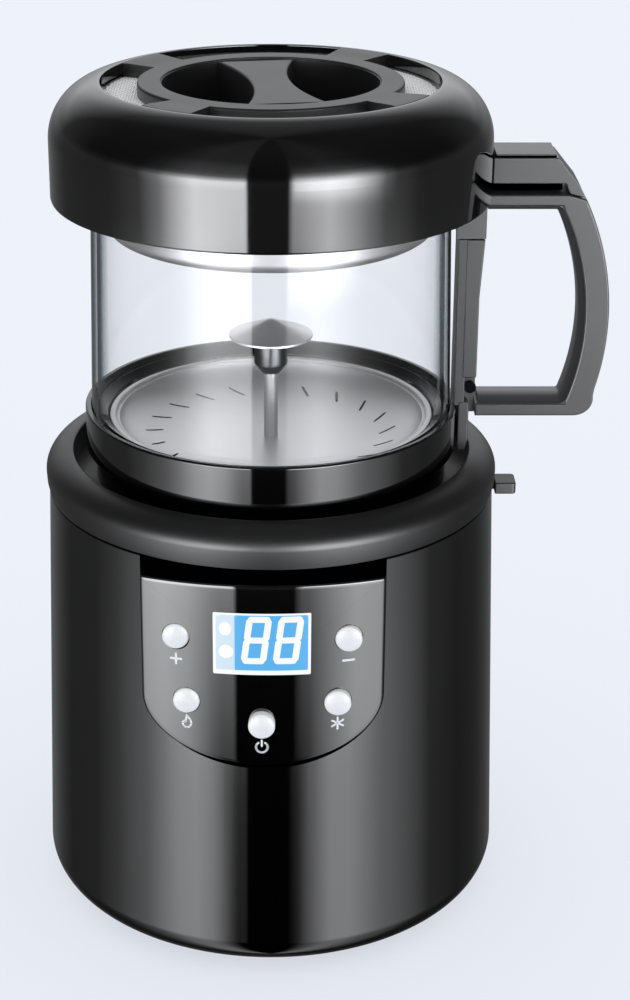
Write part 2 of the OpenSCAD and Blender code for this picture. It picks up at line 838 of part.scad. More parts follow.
// A round wire spring, swept as one helix.
module release_spring() {
    steps = 16;
    sides = 6;
    coil = 2.7;
    length = collar_x - spring_x - spring_wire;
    rings = spring_turns * steps;
    points = [for (i = [0:rings]) let (a = 360 * i / steps) for (k = [0:sides - 1])
        let (b = 360 * k / sides, r = coil + spring_wire / 2 * cos(b))
        [spring_x + spring_wire / 2 + length * i / rings + spring_wire / 2 * sin(b),
            r * cos(a), release_z + r * sin(a)]];
    faces = concat(
        [[for (k = [0:sides - 1]) k]],
        [for (i = [0:rings - 1]) for (k = [0:sides - 1])
            [i * sides + k, (i + 1) * sides + k,
                (i + 1) * sides + (k + 1) % sides, i * sides + (k + 1) % sides]],
        [[for (k = [sides - 1:-1:0]) rings * sides + k]]);
    color("#b5b8bb") polyhedron(points = points, faces = faces, convexity = 10);
}

// ---- roasting chamber ----
module chamber_collar() {
    groove_out = glass_foot_r + fit;
    groove_in = glass_foot_r - glass_t - fit - 0.2;
    shelf_r = pan_r - 2.2;
    plug_wall = 3.5;
    color("#161618")
    difference() {
        union() {
            turn_profile([
                [plug_r, z_plug], [plug_r, z_band - 0.8], [band_r - 1, z_band],
                [band_r, z_band + band_chamfer], [band_r, z_band_top - band_chamfer],
                [band_r - band_chamfer, z_band_top], [groove_out, z_band_top],
                [groove_out, z_groove], [groove_in, z_groove], [groove_in, z_band_top - 1.4],
                [groove_in - 0.7, z_band_top - 1.4], [pan_r + fit, z_shelf + pan_t + 0.3],
                [pan_r + fit, z_shelf], [shelf_r, z_shelf], [shelf_r, z_shelf - 5],
                [plug_r - plug_wall, z_band], [plug_r - plug_wall, z_plug]]);
            // tongue with a nose, which passes through the floor of the well to the latch
            translate([tongue_x, -tongue_w / 2, release_z - 1 - running - nose_h])
                cube([tongue_t, tongue_w, z_plug + 2 - release_z + 1 + running + nose_h]);
            slab_y([[tongue_x - nose_reach, release_z - 1 - running],
                [tongue_x + 0.5, release_z - 1 - running],
                [tongue_x + 0.5, release_z - 1 - running - nose_h],
                [tongue_x, release_z - 1 - running - nose_h]], tongue_w);
        }
    }
}

module pan_slot() {
    slot_l = 9;
    slot_w = 1.8;
    translate([44, 0, z_pan_floor - 4]) rotate([0, 0, 35])
        translate([-slot_l / 2, -slot_w / 2, 0]) cube([slot_l, slot_w, pan_depth]);
}

module roasting_pan() {
    bowl_cx = 30;
    wall_r = pan_r - 3.4;
    color("#c3c6c8")
    difference() {
        turn_profile(concat(
            [[rod_d / 2, z_hub_floor - pan_t], [bowl_cx, z_pan_floor - pan_t]],
            oval(bowl_cx, z_pan_rim, wall_r + pan_t - bowl_cx, pan_depth + pan_t, -84, -6, 12),
            [[wall_r + pan_t, z_shelf], [pan_r, z_shelf], [pan_r, z_pan_rim]],
            oval(bowl_cx, z_pan_rim, wall_r - bowl_cx, pan_depth, 0, -90, 12),
            [[rod_d / 2, z_hub_floor]]));
        for (i = [0:pan_slots - 1]) rotate([0, 0, 360 / pan_slots * i]) pan_slot();
    }
}

module glass_gasket() {
    color("#d9d4cc") tube(z_groove, z_glass, glass_foot_r, glass_foot_r - glass_t - 0.2);
}

// The radius of the outside of the glass at a height.
function glass_r(z) = glass_foot_r + (glass_top_r - glass_foot_r) * (z - z_glass) / glass_h;

module glass_cylinder() {
    color("#e8f2f8", 0.3)
    turn_profile([[glass_r(z_glass) - glass_t, z_glass], [glass_r(z_glass), z_glass],
        [glass_r(z_glass_top), z_glass_top], [glass_r(z_glass_top) - glass_t, z_glass_top]]);
}

module glass_rim() {
    z0 = z_glass_top - rim_h - 0.6;
    z1 = z_glass_top - 0.6;
    color("#1b1b1d")
    difference() {
        union() {
            turn_profile([[glass_r(z0) + 0.05, z0], [glass_r(z0) + rim_t, z0],
                [glass_r(z0) + rim_t, z1], [glass_r(z1) + 0.05, z1]]);
            difference() {
                translate([glass_top_r - 2, -handle_w / 2, z_lug])
                    cube([stem_out_r + 1.6 - glass_top_r + 2, handle_w, lug_h]);
                translate([0, 0, z_lug - 1]) cylinder(h = lug_h + 2, r = stem_in_r - 0.4);
            }
            // riser from the lug to the ring, behind the root of the upper arm
            difference() {
                translate([glass_top_r, -handle_w / 2, z_finger_top - 1])
                    cube([arm_root_r - glass_top_r - 0.2, handle_w, z0 + 4 - z_finger_top]);
                translate([0, 0, z_lug]) cylinder(h = 2 * lug_h, r = glass_r(z0) + 0.6);
            }
        }
    }
}

module centre_rod() {
    z0 = z_pan_floor - rod_below;
    z1 = z_pan_rim + hub_gap + hub_socket;
    color("#d2d4d6")
    union() {
        translate([0, 0, z0]) cylinder(h = z1 - z0, d = rod_d);
        translate([0, 0, z0 + nut_above])
            cylinder(h = z_hub_floor - pan_t - z0 - nut_above, r = nut_r, $fn = 6);
    }
}

module rod_hub() {
    z0 = z_pan_rim + hub_gap;
    color("#77797c")
    turn_profile([[rod_d / 2, z0], [rod_d / 2 + 0.9, z0], [hub_r, z0 + 3.6], [hub_r, z0 + hub_h],
        [0, z0 + hub_h], [0, z0 + hub_socket], [rod_d / 2, z0 + hub_socket]]);
}

module deflector_cap() {
    z0 = z_pan_rim + hub_gap + hub_h;
    color("#a9acae")
    turn_profile([[0, z0], [hub_r, z0], [cap_r, z0 - 0.4], [cap_r, z0 + 0.6],
        [cap_r - 0.6, z0 + 1], [2.4, z0 + cap_h - 0.5], [1.2, z0 + cap_h], [0, z0 + cap_h + 0.2]]);
}

// ---- handle ----
module handle_stem() {
    z_foot = z_band - 1.4;
    color("#242427")
    difference() {
        union() {
            slab_y([[stem_in_r, z_finger], [stem_out_r, z_finger],
                [stem_out_r, z_lug - 22], [stem_out_r + 1.4, z_lug - seam],
                [stem_in_r, z_lug - seam]], handle_w);
            slab_y([[strap_in_r, z_foot], [strap_out_r - 1, z_foot],
                [strap_out_r, z_foot + 4], [strap_out_r, z_lower_arm], [stem_out_r, z_lower_arm],
                [stem_out_r, z_finger + 1], [strap_in_r, z_finger + 1]], handle_w);
        }
        translate([0, 0, z_foot - 1]) cylinder(h = z_band_top - z_foot + 1.3, r = strap_in_r);
        translate([0, 0, z_band_top]) cylinder(h = 80, r = stem_in_r);
        stem_recess();
    }
}

// The recess that the lower handle screw sits in.
module stem_recess() {
    translate([stem_in_r + 3.6, -handle_w / 2 - 1, recess_z])
        cube([stem_t, recess_d + 1, recess_h]);
}

module handle_grip() {
    corner = 6;
    color("#2a2a2d")
    translate([0, handle_w / 2, 0]) rotate([90, 0, 0]) linear_extrude(height = handle_w)
    difference() {
        union() {
            intersection() {
                translate([handle_cx, z_handle_mid]) circle(r = grip_bend_r, $fn = 200);
                translate([stem_out_r, z_lower_arm])
                    square([handle_reach - stem_out_r, z_upper_arm - z_lower_arm]);
                // rounded lower outer corner
                union() {
                    translate([stem_out_r, z_lower_arm + corner])
                        square([handle_reach - stem_out_r, z_upper_arm - z_lower_arm]);
                    translate([stem_out_r, z_lower_arm])
                        square([handle_reach - 7.2 - corner - stem_out_r, corner + 1]);
                    translate([handle_reach - 7.2 - corner, z_lower_arm + corner])
                        circle(r = corner, $fn = 48);
                }
            }
            // root of the upper arm, over the lug
            translate([arm_root_r, z_finger_top])
                square([stem_out_r + 5 - arm_root_r, upper_arm_t]);
        }
        intersection() {
            translate([handle_cx, z_handle_mid]) circle(r = grip_bend_r - grip_t, $fn = 200);
            translate([stem_out_r - 5, z_finger]) square([handle_reach, finger_h]);
        }
        // slope that the tip of the lid tab lies over
        polygon([[tip_x, z_upper_arm], [handle_reach, tip_z(handle_reach)],
            [handle_reach, z_upper_arm + 1], [tip_x, z_upper_arm + 1]]);
    }
}

module handle_screws() {
    color("#8d9093")
    union() {
        rod_y(stem_in_r + 3.6 + 2.5, recess_z + recess_h / 2, -handle_w / 2 + recess_d - 1.8,
            -handle_w / 2 + recess_d, 2.2);
    }
}

// ---- lid ----
module lid_cover() {
    vent_a = acos((vent_out_r - lid_cx) / lid_round_r);
    inner_round = lid_round_r - lid_wall;
    inner_a = acos((vent_out_r + 2 - lid_cx) / inner_round);
    skirt_r = lid_r - lid_wall;
    color("#141416")
    difference() {
        turn_profile(concat(
            [[lid_r - 0.6, z_lid], [lid_r, z_lid + 0.8]],
            arc(lid_cx, z_lid_round, lid_round_r, 0, vent_a, 16),
            [[vent_out_r, z_ledge], [vent_out_r - ledge_w, z_ledge],
                [vent_out_r - ledge_w, z_ledge - ledge_t], [vent_out_r + 2, z_ledge - ledge_t]],
            arc(lid_cx, z_lid_round, inner_round, inner_a, 0, 12),
            [[skirt_r, z_lid]]));
        translate([skirt_r - 2, -handle_w / 2 - skirt_notch, z_lid - 1])
            cube([6, handle_w + 2 * skirt_notch, z_upper_arm + skirt_notch - z_lid + 1]);
    }
}

// One finger well, a round recess cut off by the bowed side of the bar.
module finger_well() {
    translate([0, 0, z_wells]) linear_extrude(height = well_h + 5) intersection() {
        circle(r = recess_r - 0.8);
        translate([-bar_waist / 2 - bar_bend_r, 0]) circle(r = bar_bend_r, $fn = 180);
    }
}

module lid_insert() {
    bridge_h = z_insert - z_ledge;
    wedge_r = 1.5 * vent_out_r;
    cup_r = recess_r + insert_wall;
    color("#1b1b1d")
    rotate([0, 0, lid_turn]) difference() {
        union() {
            translate([0, 0, z_wells - insert_wall]) cylinder(h = z_insert - z_wells, r = cup_r);
            translate([0, 0, z_ledge]) cylinder(h = bridge_h, r = vent_in_r);
            for (i = [0:3]) rotate([0, 0, 45 + 90 * i]) intersection() {
                tube(z_ledge, z_insert, vent_out_r - 0.1, vent_in_r - 1);
                translate([0, 0, z_ledge - 1]) linear_extrude(height = bridge_h + 2)
                    polygon([[0, 0],
                        [wedge_r * cos(bridge_angle / 2), -wedge_r * sin(bridge_angle / 2)],
                        [wedge_r * cos(bridge_angle / 2), wedge_r * sin(bridge_angle / 2)]]);
            }
        }
        finger_well();
        rotate([0, 0, 180]) finger_well();
        translate([0, 0, z_insert - 0.5]) cylinder(h = 2, r = recess_r - 0.4);
    }
}

module lid_tab() {
    neck_x = lid_r + 2.6;
    z_seam = z_tab_top - 1.5;
    color("#2c2c2f")
    difference() {
        slab_y([[lid_r - 3, z_tab], [tip_x - 1.5, z_tab], [tip_x, tip_z(tip_x) + running],
            [tip_end_x, tip_z(tip_end_x) + running], [tab_reach, z_tab],
            [tab_reach - tab_slope, z_tab_top], [lid_r - 3, z_tab_top]], handle_w);
        cylinder(h = 400, r = lid_r);
        // groove under the cap plate of the tab
        for (s = [-1, 1]) translate([0, s * handle_w / 2, z_seam])
            cube([2 * tab_reach, 1.6, 0.6], center = true);
        // waist where the tab meets the lid
        for (s = [-1, 1]) translate([neck_x - 2.6, s * (handle_w / 2 + 0.8), 0])
            rotate([0, 0, 45]) translate([-2.4, -2.4, z_tab - 10]) cube([4.8, 4.8, 40]);
    }
}

module lid_liner() {
    skirt_r = lid_r - lid_wall;
    mesh_r = vent_out_r - 0.5;
    color("#a9abad")
    turn_profile([[mesh_r - 1, z_liner], [skirt_r, z_liner], [skirt_r, z_liner + liner_t],
        [mesh_r + 1, z_liner + liner_t], [mesh_r + 1, z_mesh], [mesh_r - 1, z_mesh]]);
}

module lid_mesh() {
    color("#d6d8da")
    tube(z_mesh, z_mesh + mesh_t, vent_out_r + 1, recess_r + insert_wall + fit);
}

module chaff_bowl() {
    rim_r = glass_top_r + 1.5;
    throat_r = glass_top_r - glass_t - 1;
    floor_cx = bowl_r - bowl_round;
    z_chimney = z_wells - insert_wall - chimney_gap;
    color("#c8cbcd")
    turn_profile(concat(
        [[rim_r, z_bowl_rim], [rim_r, z_bowl_rim + bowl_t], [throat_r - bowl_t, z_bowl_rim + bowl_t],
            [bowl_r - bowl_t, z_bowl + bowl_round]],
        arc(floor_cx, z_bowl + bowl_round, bowl_round - bowl_t, 0, -90, 6),
        [[chimney_r, z_bowl + bowl_t], [chimney_r - 2, z_chimney],
            [chimney_r - 2 - bowl_t, z_chimney], [chimney_r - bowl_t, z_bowl]],
        arc(floor_cx, z_bowl + bowl_round, bowl_round, -90, 0, 6),
        [[throat_r, z_bowl_rim]]));
}

module lid_seal() {
    color("#cfcac2")
    tube(z_glass_top + seal_gap, z_bowl_rim, glass_top_r + 1, glass_top_r - glass_t - 0.6);
}

module lid_screws() {
    color("#8d9093")
    for (i = [0:2]) rotate([0, 0, 60 + 120 * i])
        translate([lid_screw_circle_r, 0, z_liner - screw_head_h])
            cylinder(h = screw_head_h, d = screw_head_d - screw_head_play, $fn = 32);
}

rubber_foot();
bottom_cover();
bottom_screws();
housing();
cord_gland();
shoulder_ring();
outlet_grille();
air_duct();
motor_mount();
blower_motor();
motor_shaft();
blower_wheel();
heater_frame();
heater_coil();
control_panel();
display_window();
display_module();
control_board();
key_switches();
button_time_up();
button_time_down();
button_roast();
button_cool();
button_power();
release_button();
release_spring();
chamber_collar();
roasting_pan();
glass_gasket();
glass_cylinder();
glass_rim();
centre_rod();
rod_hub();
deflector_cap();
handle_stem();
handle_grip();
handle_screws();
lid_cover();
lid_insert();
lid_tab();
lid_liner();
lid_mesh();
chaff_bowl();
lid_seal();
lid_screws();
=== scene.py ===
"""Looks of a home coffee bean roaster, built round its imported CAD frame.

Sizes in this file are millimetres in the frame's own axes: +Z up, the control panel faces -Y and the
handle points along +X. Meshes are written in metres.
"""

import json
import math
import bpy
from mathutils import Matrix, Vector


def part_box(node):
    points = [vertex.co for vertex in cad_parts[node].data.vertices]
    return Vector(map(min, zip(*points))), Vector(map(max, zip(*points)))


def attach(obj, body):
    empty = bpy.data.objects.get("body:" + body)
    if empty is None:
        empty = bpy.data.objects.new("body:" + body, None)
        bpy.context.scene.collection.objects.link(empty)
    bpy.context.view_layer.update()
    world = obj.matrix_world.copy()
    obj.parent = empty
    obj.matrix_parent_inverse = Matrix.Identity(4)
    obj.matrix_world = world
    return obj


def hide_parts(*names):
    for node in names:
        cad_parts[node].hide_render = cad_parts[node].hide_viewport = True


bl_info = {
    "name": "Coffee bean roaster",
    "version": (1, 0, 0),
    "blender": (4, 5, 0),
    "location": "3D View > Sidebar > Roaster",
    "description": "Finishes and smooth surfaces of a home coffee bean roaster on its CAD frame",
    "category": "Add Mesh",
}

from functools import cache

import bmesh
import bpy
import numpy as np
from bpy.props import FloatProperty, FloatVectorProperty, IntProperty, PointerProperty

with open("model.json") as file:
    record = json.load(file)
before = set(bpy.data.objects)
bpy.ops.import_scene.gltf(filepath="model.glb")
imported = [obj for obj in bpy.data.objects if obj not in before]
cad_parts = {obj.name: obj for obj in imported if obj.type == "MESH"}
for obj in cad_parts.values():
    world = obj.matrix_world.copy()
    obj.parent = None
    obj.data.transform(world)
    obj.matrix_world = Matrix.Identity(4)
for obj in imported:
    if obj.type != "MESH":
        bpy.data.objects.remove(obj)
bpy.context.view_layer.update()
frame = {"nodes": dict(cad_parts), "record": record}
NODES = frame["nodes"]
MM = 0.001


def box(node):
    """The lowest and highest corner of a CAD node in millimetres."""
    low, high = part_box(node)
    return np.array(low) / MM, np.array(high) / MM


def box_middle(node):
    """The height of the middle of a node."""
    low, high = box(node)
    return (low[2] + high[2]) / 2


def rgb(hex_colour):
    """A linear colour from an sRGB hex value, by the sRGB transfer curve."""
    value = np.array([int(hex_colour[i : i + 2], 16) for i in (1, 3, 5)]) / 255
    linear = np.where(value <= 0.04045, value / 12.92, ((value + 0.055) / 1.055) ** 2.4)
    return (*linear, 1.0)


# ---- places and sizes that come from the CAD nodes ----
BODY_LOW, BODY_HIGH = box("housing")
RING_HIGH = box("shoulder_ring")[1]
RELEASE_HIGH = box("release_button")[1]
BAND_HIGH = box("chamber_collar")[1]
GLASS_LOW, GLASS_HIGH = box("glass_cylinder")
PAN_HIGH = box("roasting_pan")[1]
CAP_LOW, CAP_HIGH = box("deflector_cap")
HUB_LOW, HUB_HIGH = box("rod_hub")
ROD_LOW, ROD_HIGH = box("centre_rod")
GRIP_LOW, GRIP_HIGH = box("handle_grip")
STEM_LOW, STEM_HIGH = box("handle_stem")
LID_LOW, LID_HIGH = box("lid_cover")
INSERT_LOW = box("lid_insert")[0]
TAB_LOW, TAB_HIGH = box("lid_tab")
MESH_HIGH = box("lid_mesh")[1]
BOWL_LOW, BOWL_HIGH = box("chaff_bowl")

Z_UNDER, Z_BODY_TOP = BODY_LOW[2], BODY_HIGH[2]
BASE_R, BASE_EDGE_R = -BODY_LOW[1], 12.0
SHOULDER_R = 84.0
LIP_R = 74.5

# the control panel: its half width, round foot, angle from the front, how far it stands out of its
# opening, and the radius, recess and sideways lean of its own face
PANEL_HALF, PANEL_ROUND_H = 43.5, 25.0
Z_PANEL_TOP = Z_BODY_TOP - 6.0
Z_PANEL_ROUND = Z_PANEL_TOP - 46.0
PANEL_TURN, PANEL_PROUD = math.radians(-2.2), 0.3
PANEL_R, PANEL_RECESS, PANEL_LEAN = 125.0, 1.6, math.tan(math.radians(1.0))

# the keys: radius, and the middle of each across the panel and above the foot of the body
KEY_R = 4.8
KEY_PLACES = {
    "time_up": (-30.6, 134.5),
    "time_down": (30.6, 134.5),
    "roast": (-27.0, 110.0),
    "cool": (27.0, 110.0),
    "power": (0.0, 102.5),
}
DISPLAY_Z = 133.0 + Z_UNDER
RELEASE_HALF, RELEASE_THICK = 5.0, 4.5

# the perforated sheet lies this much above its CAD node, where the photograph shows it
MESH_LIFT = 0.9

# the camera as fitted to the photograph: the picture's size, the focal length and the place of the
# middle of the view in its pixels, and how far the camera looks down, in degrees
IMAGE_W, IMAGE_H = 630, 1000
FOCAL_PX, MIDDLE_X_PX, CAMERA_DIP = 2154, 270.9, 23.15


# ---- settings ----
class RoasterSizes(bpy.types.PropertyGroup):
    """Sizes of the shown surfaces that a user may change."""

    segments: IntProperty(
        name="Segments", description="Steps round a turned piece", default=288, min=96, max=512
    )
    edge: FloatProperty(
        name="Edge", description="Radius of the rounded edges of the grip, in millimetres",
        default=0.7, min=0.2, max=1.2,
    )
    panel_edge: FloatProperty(
        name="Panel edge", description="Radius of the edge of the control panel, in millimetres",
        default=0.9, min=0.3, max=1.5,
    )
    mesh_pitch: FloatProperty(
        name="Mesh pitch", description="Distance between the holes of the perforated sheet, in millimetres",
        default=2.0, min=1.6, max=3.0,
    )
    digit_height: FloatProperty(
        name="Digit height", description="Height of the digits of the display, in millimetres",
        default=16.0, min=8.0, max=18.0,
    )


class RoasterColours(bpy.types.PropertyGroup):
    """Colours that a user may change."""

    body: FloatVectorProperty(
        name="Body", description="Colour of the gloss mouldings",
        subtype="COLOR", size=4, min=0, max=1, default=rgb("#020202"),
    )
    display: FloatVectorProperty(
        name="Display", description="Colour of the lit display",
        subtype="COLOR", size=4, min=0, max=1, default=rgb("#5fb4ee"),
    )
    backdrop: FloatVectorProperty(
        name="Backdrop", description="Colour of the floor and the background",
        subtype="COLOR", size=4, min=0, max=1, default=rgb("#eef2fb"),
    )


# ---- outlines ----
def arc(cx, cz, rx, rz, start, end, steps):
    """Points of an ellipse: centre plus (rx cos t, rz sin t) for t from start to end degrees."""
    t = np.radians(np.linspace(start, end, steps + 1))
    return np.stack([cx + rx * np.cos(t), cz + rz * np.sin(t)], -1)


def rounded(corners, radii, steps=5, closed=True):
    """A polygon with each corner turned into an arc of its radius.

    The arc's centre lies on the bisector of the corner, radius / sin(half the angle) away from it,
    and the arc runs between the two points radius / tan(half the angle) along the sides.
    """
    p = np.asarray(corners, float)
    r = np.broadcast_to(np.asarray(radii, float), len(p)).copy()
    if not closed:
        r[[0, -1]] = 0
    u, v = np.roll(p, 1, 0) - p, np.roll(p, -1, 0) - p
    u /= np.linalg.norm(u, axis=1)[:, None]
    v /= np.linalg.norm(v, axis=1)[:, None]
    half = np.arccos(np.clip((u * v).sum(1), -0.9999999, 1)) / 2
    bisector = u + v
    bisector /= np.maximum(np.linalg.norm(bisector, axis=1), 1e-9)[:, None]
    centre = p + bisector * (r / np.sin(half))[:, None]
    start = p + u * (r / np.tan(half))[:, None] - centre
    end = p + v * (r / np.tan(half))[:, None] - centre
    a = np.arctan2(start[:, 1], start[:, 0])
    turn = (np.arctan2(end[:, 1], end[:, 0]) - a + np.pi) % (2 * np.pi) - np.pi
    t = a[:, None] + turn[:, None] * np.linspace(0, 1, steps + 1)
    points = centre[:, None] + r[:, None, None] * np.stack([np.cos(t), np.sin(t)], -1)
    return distinct(points.reshape(-1, 2))


def distinct(points):
    """The points without those that lie within a micrometre of the one before."""
    step = np.linalg.norm(points - np.roll(points, 1, 0), axis=1)
    return points[step > 1e-3]


def evenly(outline, spacing):
    """A closed outline with points added along its sides, no further apart than spacing."""
    following = np.roll(outline, -1, 0)
    counts = np.maximum(1, np.ceil(np.linalg.norm(following - outline, axis=1) / spacing)).astype(int)
    side = np.repeat(np.arange(len(outline)), counts)
    first = np.repeat(np.cumsum(counts) - counts, counts)
    share = (np.arange(counts.sum()) - first) / counts[side]
    return outline[side] + (following[side] - outline[side]) * share[:, None]


def inset(outline, distance):
    """A closed outline moved inwards by a distance, each point along the mitre of its two sides."""
    p = np.asarray(outline, float)
    area = (p[:, 0] * np.roll(p[:, 1], -1) - np.roll(p[:, 0], -1) * p[:, 1]).sum()
    side = np.roll(p, -1, 0) - p
    normal = np.stack([-side[:, 1], side[:, 0]], -1) / np.linalg.norm(side, axis=1)[:, None]
    normal *= np.sign(area)
    before = np.roll(normal, 1, 0)
    mitre = (before + normal) / (1 + (before * normal).sum(1))[:, None].clip(0.3)
    return p + mitre * distance


def rectangle(x0, z0, x1, z1):
    """Corners of a rectangle, anticlockwise from its lowest left one."""
    return [[x0, z0], [x1, z0], [x1, z1], [x0, z1]]


# ---- surfaces ----
def grid_faces(rows, columns, offset=0, wrap_rows=False, wrap_columns=True):
    """Four-cornered faces between neighbouring points of a grid, as an index array."""
    i = np.arange(rows if wrap_rows else rows - 1)[:, None]
    j = np.arange(columns if wrap_columns else columns - 1)[None]
    following, beside = (i + 1) % rows, (j + 1) % columns
    corners = [i * columns + j, i * columns + beside, following * columns + beside, following * columns + j]
    return np.stack([np.broadcast_to(c, (i.size, j.size)).ravel() for c in corners], -1) + offset


def turned(profile, segments, start=0.0, end=360.0):
    """Surface of revolution: (r cos a, r sin a, z) for each profile point (r, z) and each angle a.

    A sweep of less than a full turn is closed by the profile itself at both ends.
    """
    profile = np.asarray(profile, float)
    full = end - start >= 360
    a = np.radians(np.linspace(start, end, segments, endpoint=not full))[:, None]
    r, z = profile[:, 0][None], profile[:, 1][None]
    points = np.stack([r * np.cos(a), r * np.sin(a), np.broadcast_to(z, (segments, len(profile)))], -1)
    faces = [grid_faces(segments, len(profile), wrap_rows=full)]
    if not full:
        count = len(profile)
        faces += [np.arange(count)[None], np.arange(count)[None] + (segments - 1) * count]
    return points.reshape(-1, 3), faces


def slab(outline, half, edge, steps=4):
    """A plate with quarter-round edges: the outline (a, b) carried along the third axis c.

    Row t from 0 to 90 degrees is inset by edge (1 - sin t) at c = half - edge (1 - cos t), and mirrored.
    """
    t = np.radians(np.linspace(0, 90, steps + 1))
    shift, height = edge * (1 - np.sin(t)), half - edge * (1 - np.cos(t))
    shift = np.concatenate([shift, shift[::-1]])
    height = np.concatenate([-height, height[::-1]])
    rows = np.stack([inset(outline, s) for s in shift])
    points = np.concatenate([rows, np.broadcast_to(height[:, None, None], (*rows.shape[:2], 1))], -1)
    count = rows.shape[1]
    caps = [np.arange(count)[None], np.arange(count)[None] + (len(shift) - 1) * count]
    return points.reshape(-1, 3), [grid_faces(len(shift), count), *caps]


def carried(path, profile):
    """A profile (d, c) carried along an open path (a, b): d to the left of the path, c across it."""
    p, profile = np.asarray(path, float), np.asarray(profile, float)
    along = np.gradient(p, axis=0)
    along /= np.linalg.norm(along, axis=1)[:, None]
    left = np.stack([-along[:, 1], along[:, 0]], -1)
    flat = p[:, None] + left[:, None] * profile[None, :, :1]
    points = np.concatenate([flat, np.broadcast_to(profile[None, :, 1:], (*flat.shape[:2], 1))], -1)
    count = len(profile)
    caps = [np.arange(count)[None], np.arange(count)[None] + (len(p) - 1) * count]
    return points.reshape(-1, 3), [grid_faces(len(p), count), *caps]


def upright(shape, middle=0.0):
    """A slab whose outline lies in the XZ plane: (a, b, c) becomes (a, middle + c, b)."""
    points, faces = shape
    return np.stack([points[:, 0], points[:, 2] + middle, points[:, 1]], -1), faces


def plate(corners, radii, half, edge, middle=0.0):
    """An upright slab with rounded corners and edges, half its thickness each way from the middle."""
    return upright(slab(rounded(corners, radii), half, edge), middle)


def lying(shape, middle, turn=0.0):
    """A slab whose outline lies in the XY plane, centred on a height and turned about Z."""
    points, faces = shape
    moved = np.stack([points[:, 0], points[:, 1], points[:, 2] + middle], -1)
    return about_z(moved, turn), faces


def about_z(points, turn):
    """Points turned about the Z axis by an angle in radians."""
    c, s = math.cos(turn), math.sin(turn)
    return points @ np.array([[c, s, 0], [-s, c, 0], [0, 0, 1]])


def body_radius(z):
    """Radius of the tapered body at a height: it grows evenly from the shoulder to the foot."""
    slope = (BASE_R - SHOULDER_R) / (Z_BODY_TOP - Z_UNDER - BASE_EDGE_R)
    return SHOULDER_R + slope * (Z_BODY_TOP - np.asarray(z, float))


def panel_front(x, z, lift=0.0):
    """How far forward the panel's face lies: R(z) - recess at its middle, less the sag of a circle
    of the panel's own, larger radius F: F - sqrt(F^2 - x^2), and a slight lean to the right."""
    flat_r = PANEL_R + lift
    sag = flat_r - np.sqrt(flat_r * flat_r - x * x)
    return body_radius(z) - PANEL_RECESS + lift - sag - PANEL_LEAN * x


def on_panel(x, z, lift):
    """Points lift above the panel's face at panel coordinates x and z."""
    return about_z(np.stack([x, -panel_front(x, z, lift), z], -1), PANEL_TURN)


def panel_plate(outline, lift, depth, edge, rings=12):
    """A plate bent as the control panel is: rings of the outline shrink to its middle, front and back.

    The rim is a quarter circle of radius edge from the front face to the side.
    """
    middle = outline.mean(0)
    t = np.radians(np.linspace(0, 90, 5))
    rim = np.stack([inset(outline, edge * (1 - np.sin(a))) for a in t])
    drop = edge * (1 - np.cos(t))
    share = np.linspace(0, 1, rings, endpoint=False)[:, None, None] ** 0.7
    front = middle + (rim[0] - middle) * share
    back = (middle + (rim[-1] - middle) * share)[::-1]
    flat = np.concatenate([front, rim, rim[-1:], back])
    height = np.concatenate([np.full(rings, lift), lift - drop, [lift - depth], np.full(rings, lift - depth)])
    points = on_panel(flat[..., 0], flat[..., 1], height[:, None])
    return points.reshape(-1, 3), [grid_faces(*flat.shape[:2])]


def joined(*shapes):
    """Several shapes as one: their points in a row and their faces moved to match."""
    points, faces, offset = [], [], 0
    for p, f in shapes:
        points.append(p)
        faces += [g + offset for g in f]
        offset += len(p)
    return np.concatenate(points), faces


# ---- pieces ----
def fill(mesh, points, faces):
    """Writes points in millimetres and index arrays of faces into a mesh in metres."""
    corners = np.concatenate([f.ravel() for f in faces]).astype(np.int32)
    sizes = np.concatenate([np.full(len(f), f.shape[1]) for f in faces])
    mesh.vertices.add(len(points))
    mesh.vertices.foreach_set("co", (points * MM).astype(np.float32).ravel())
    mesh.loops.add(len(corners))
    mesh.loops.foreach_set("vertex_index", corners)
    mesh.polygons.add(len(sizes))
    mesh.polygons.foreach_set("loop_start", (np.cumsum(sizes) - sizes).astype(np.int32))
    mesh.update(calc_edges=True)


def close(mesh):
    """Merges doubled points, at poles and seams, and turns the faces outwards."""
    work = bmesh.new()
    work.from_mesh(mesh)
    bmesh.ops.remove_doubles(work, verts=work.verts, dist=1e-6)
    bmesh.ops.recalc_face_normals(work, faces=work.faces)
    work.to_mesh(mesh)
    work.free()


def shade(obj, sharp):
    """Smooth shading that follows the larger faces and breaks at edges sharper than an angle."""
    obj.data.shade_smooth()
    obj.data.set_sharp_from_angle(angle=math.radians(sharp))
    weighted = obj.modifiers.new("Even shading", "WEIGHTED_NORMAL")
    weighted.keep_sharp = True
    weighted.weight = 80


def shape_object(name, shape):
    """A mesh object at the origin with the shape's closed, outward faces."""
    mesh = bpy.data.meshes.new(name)
    fill(mesh, *shape)
    close(mesh)
    obj = bpy.data.objects.new(name, mesh)
    bpy.context.scene.collection.objects.link(obj)
    return obj


def piece(name, shape, finish, body, nodes=(), cuts=(), sharp=34):
    """A shown piece that rides on a CAD body, wears a finish and stands for the named CAD nodes."""
    obj = shape_object(name, shape)
    for cut in cuts:
        carve(obj, shape_object("cutter", cut))
    obj.data.materials.clear()
    obj.data.materials.append(FINISHES[finish]())
    shade(obj, sharp)
    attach(obj, body)
    if nodes:
        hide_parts(*nodes)
    return obj


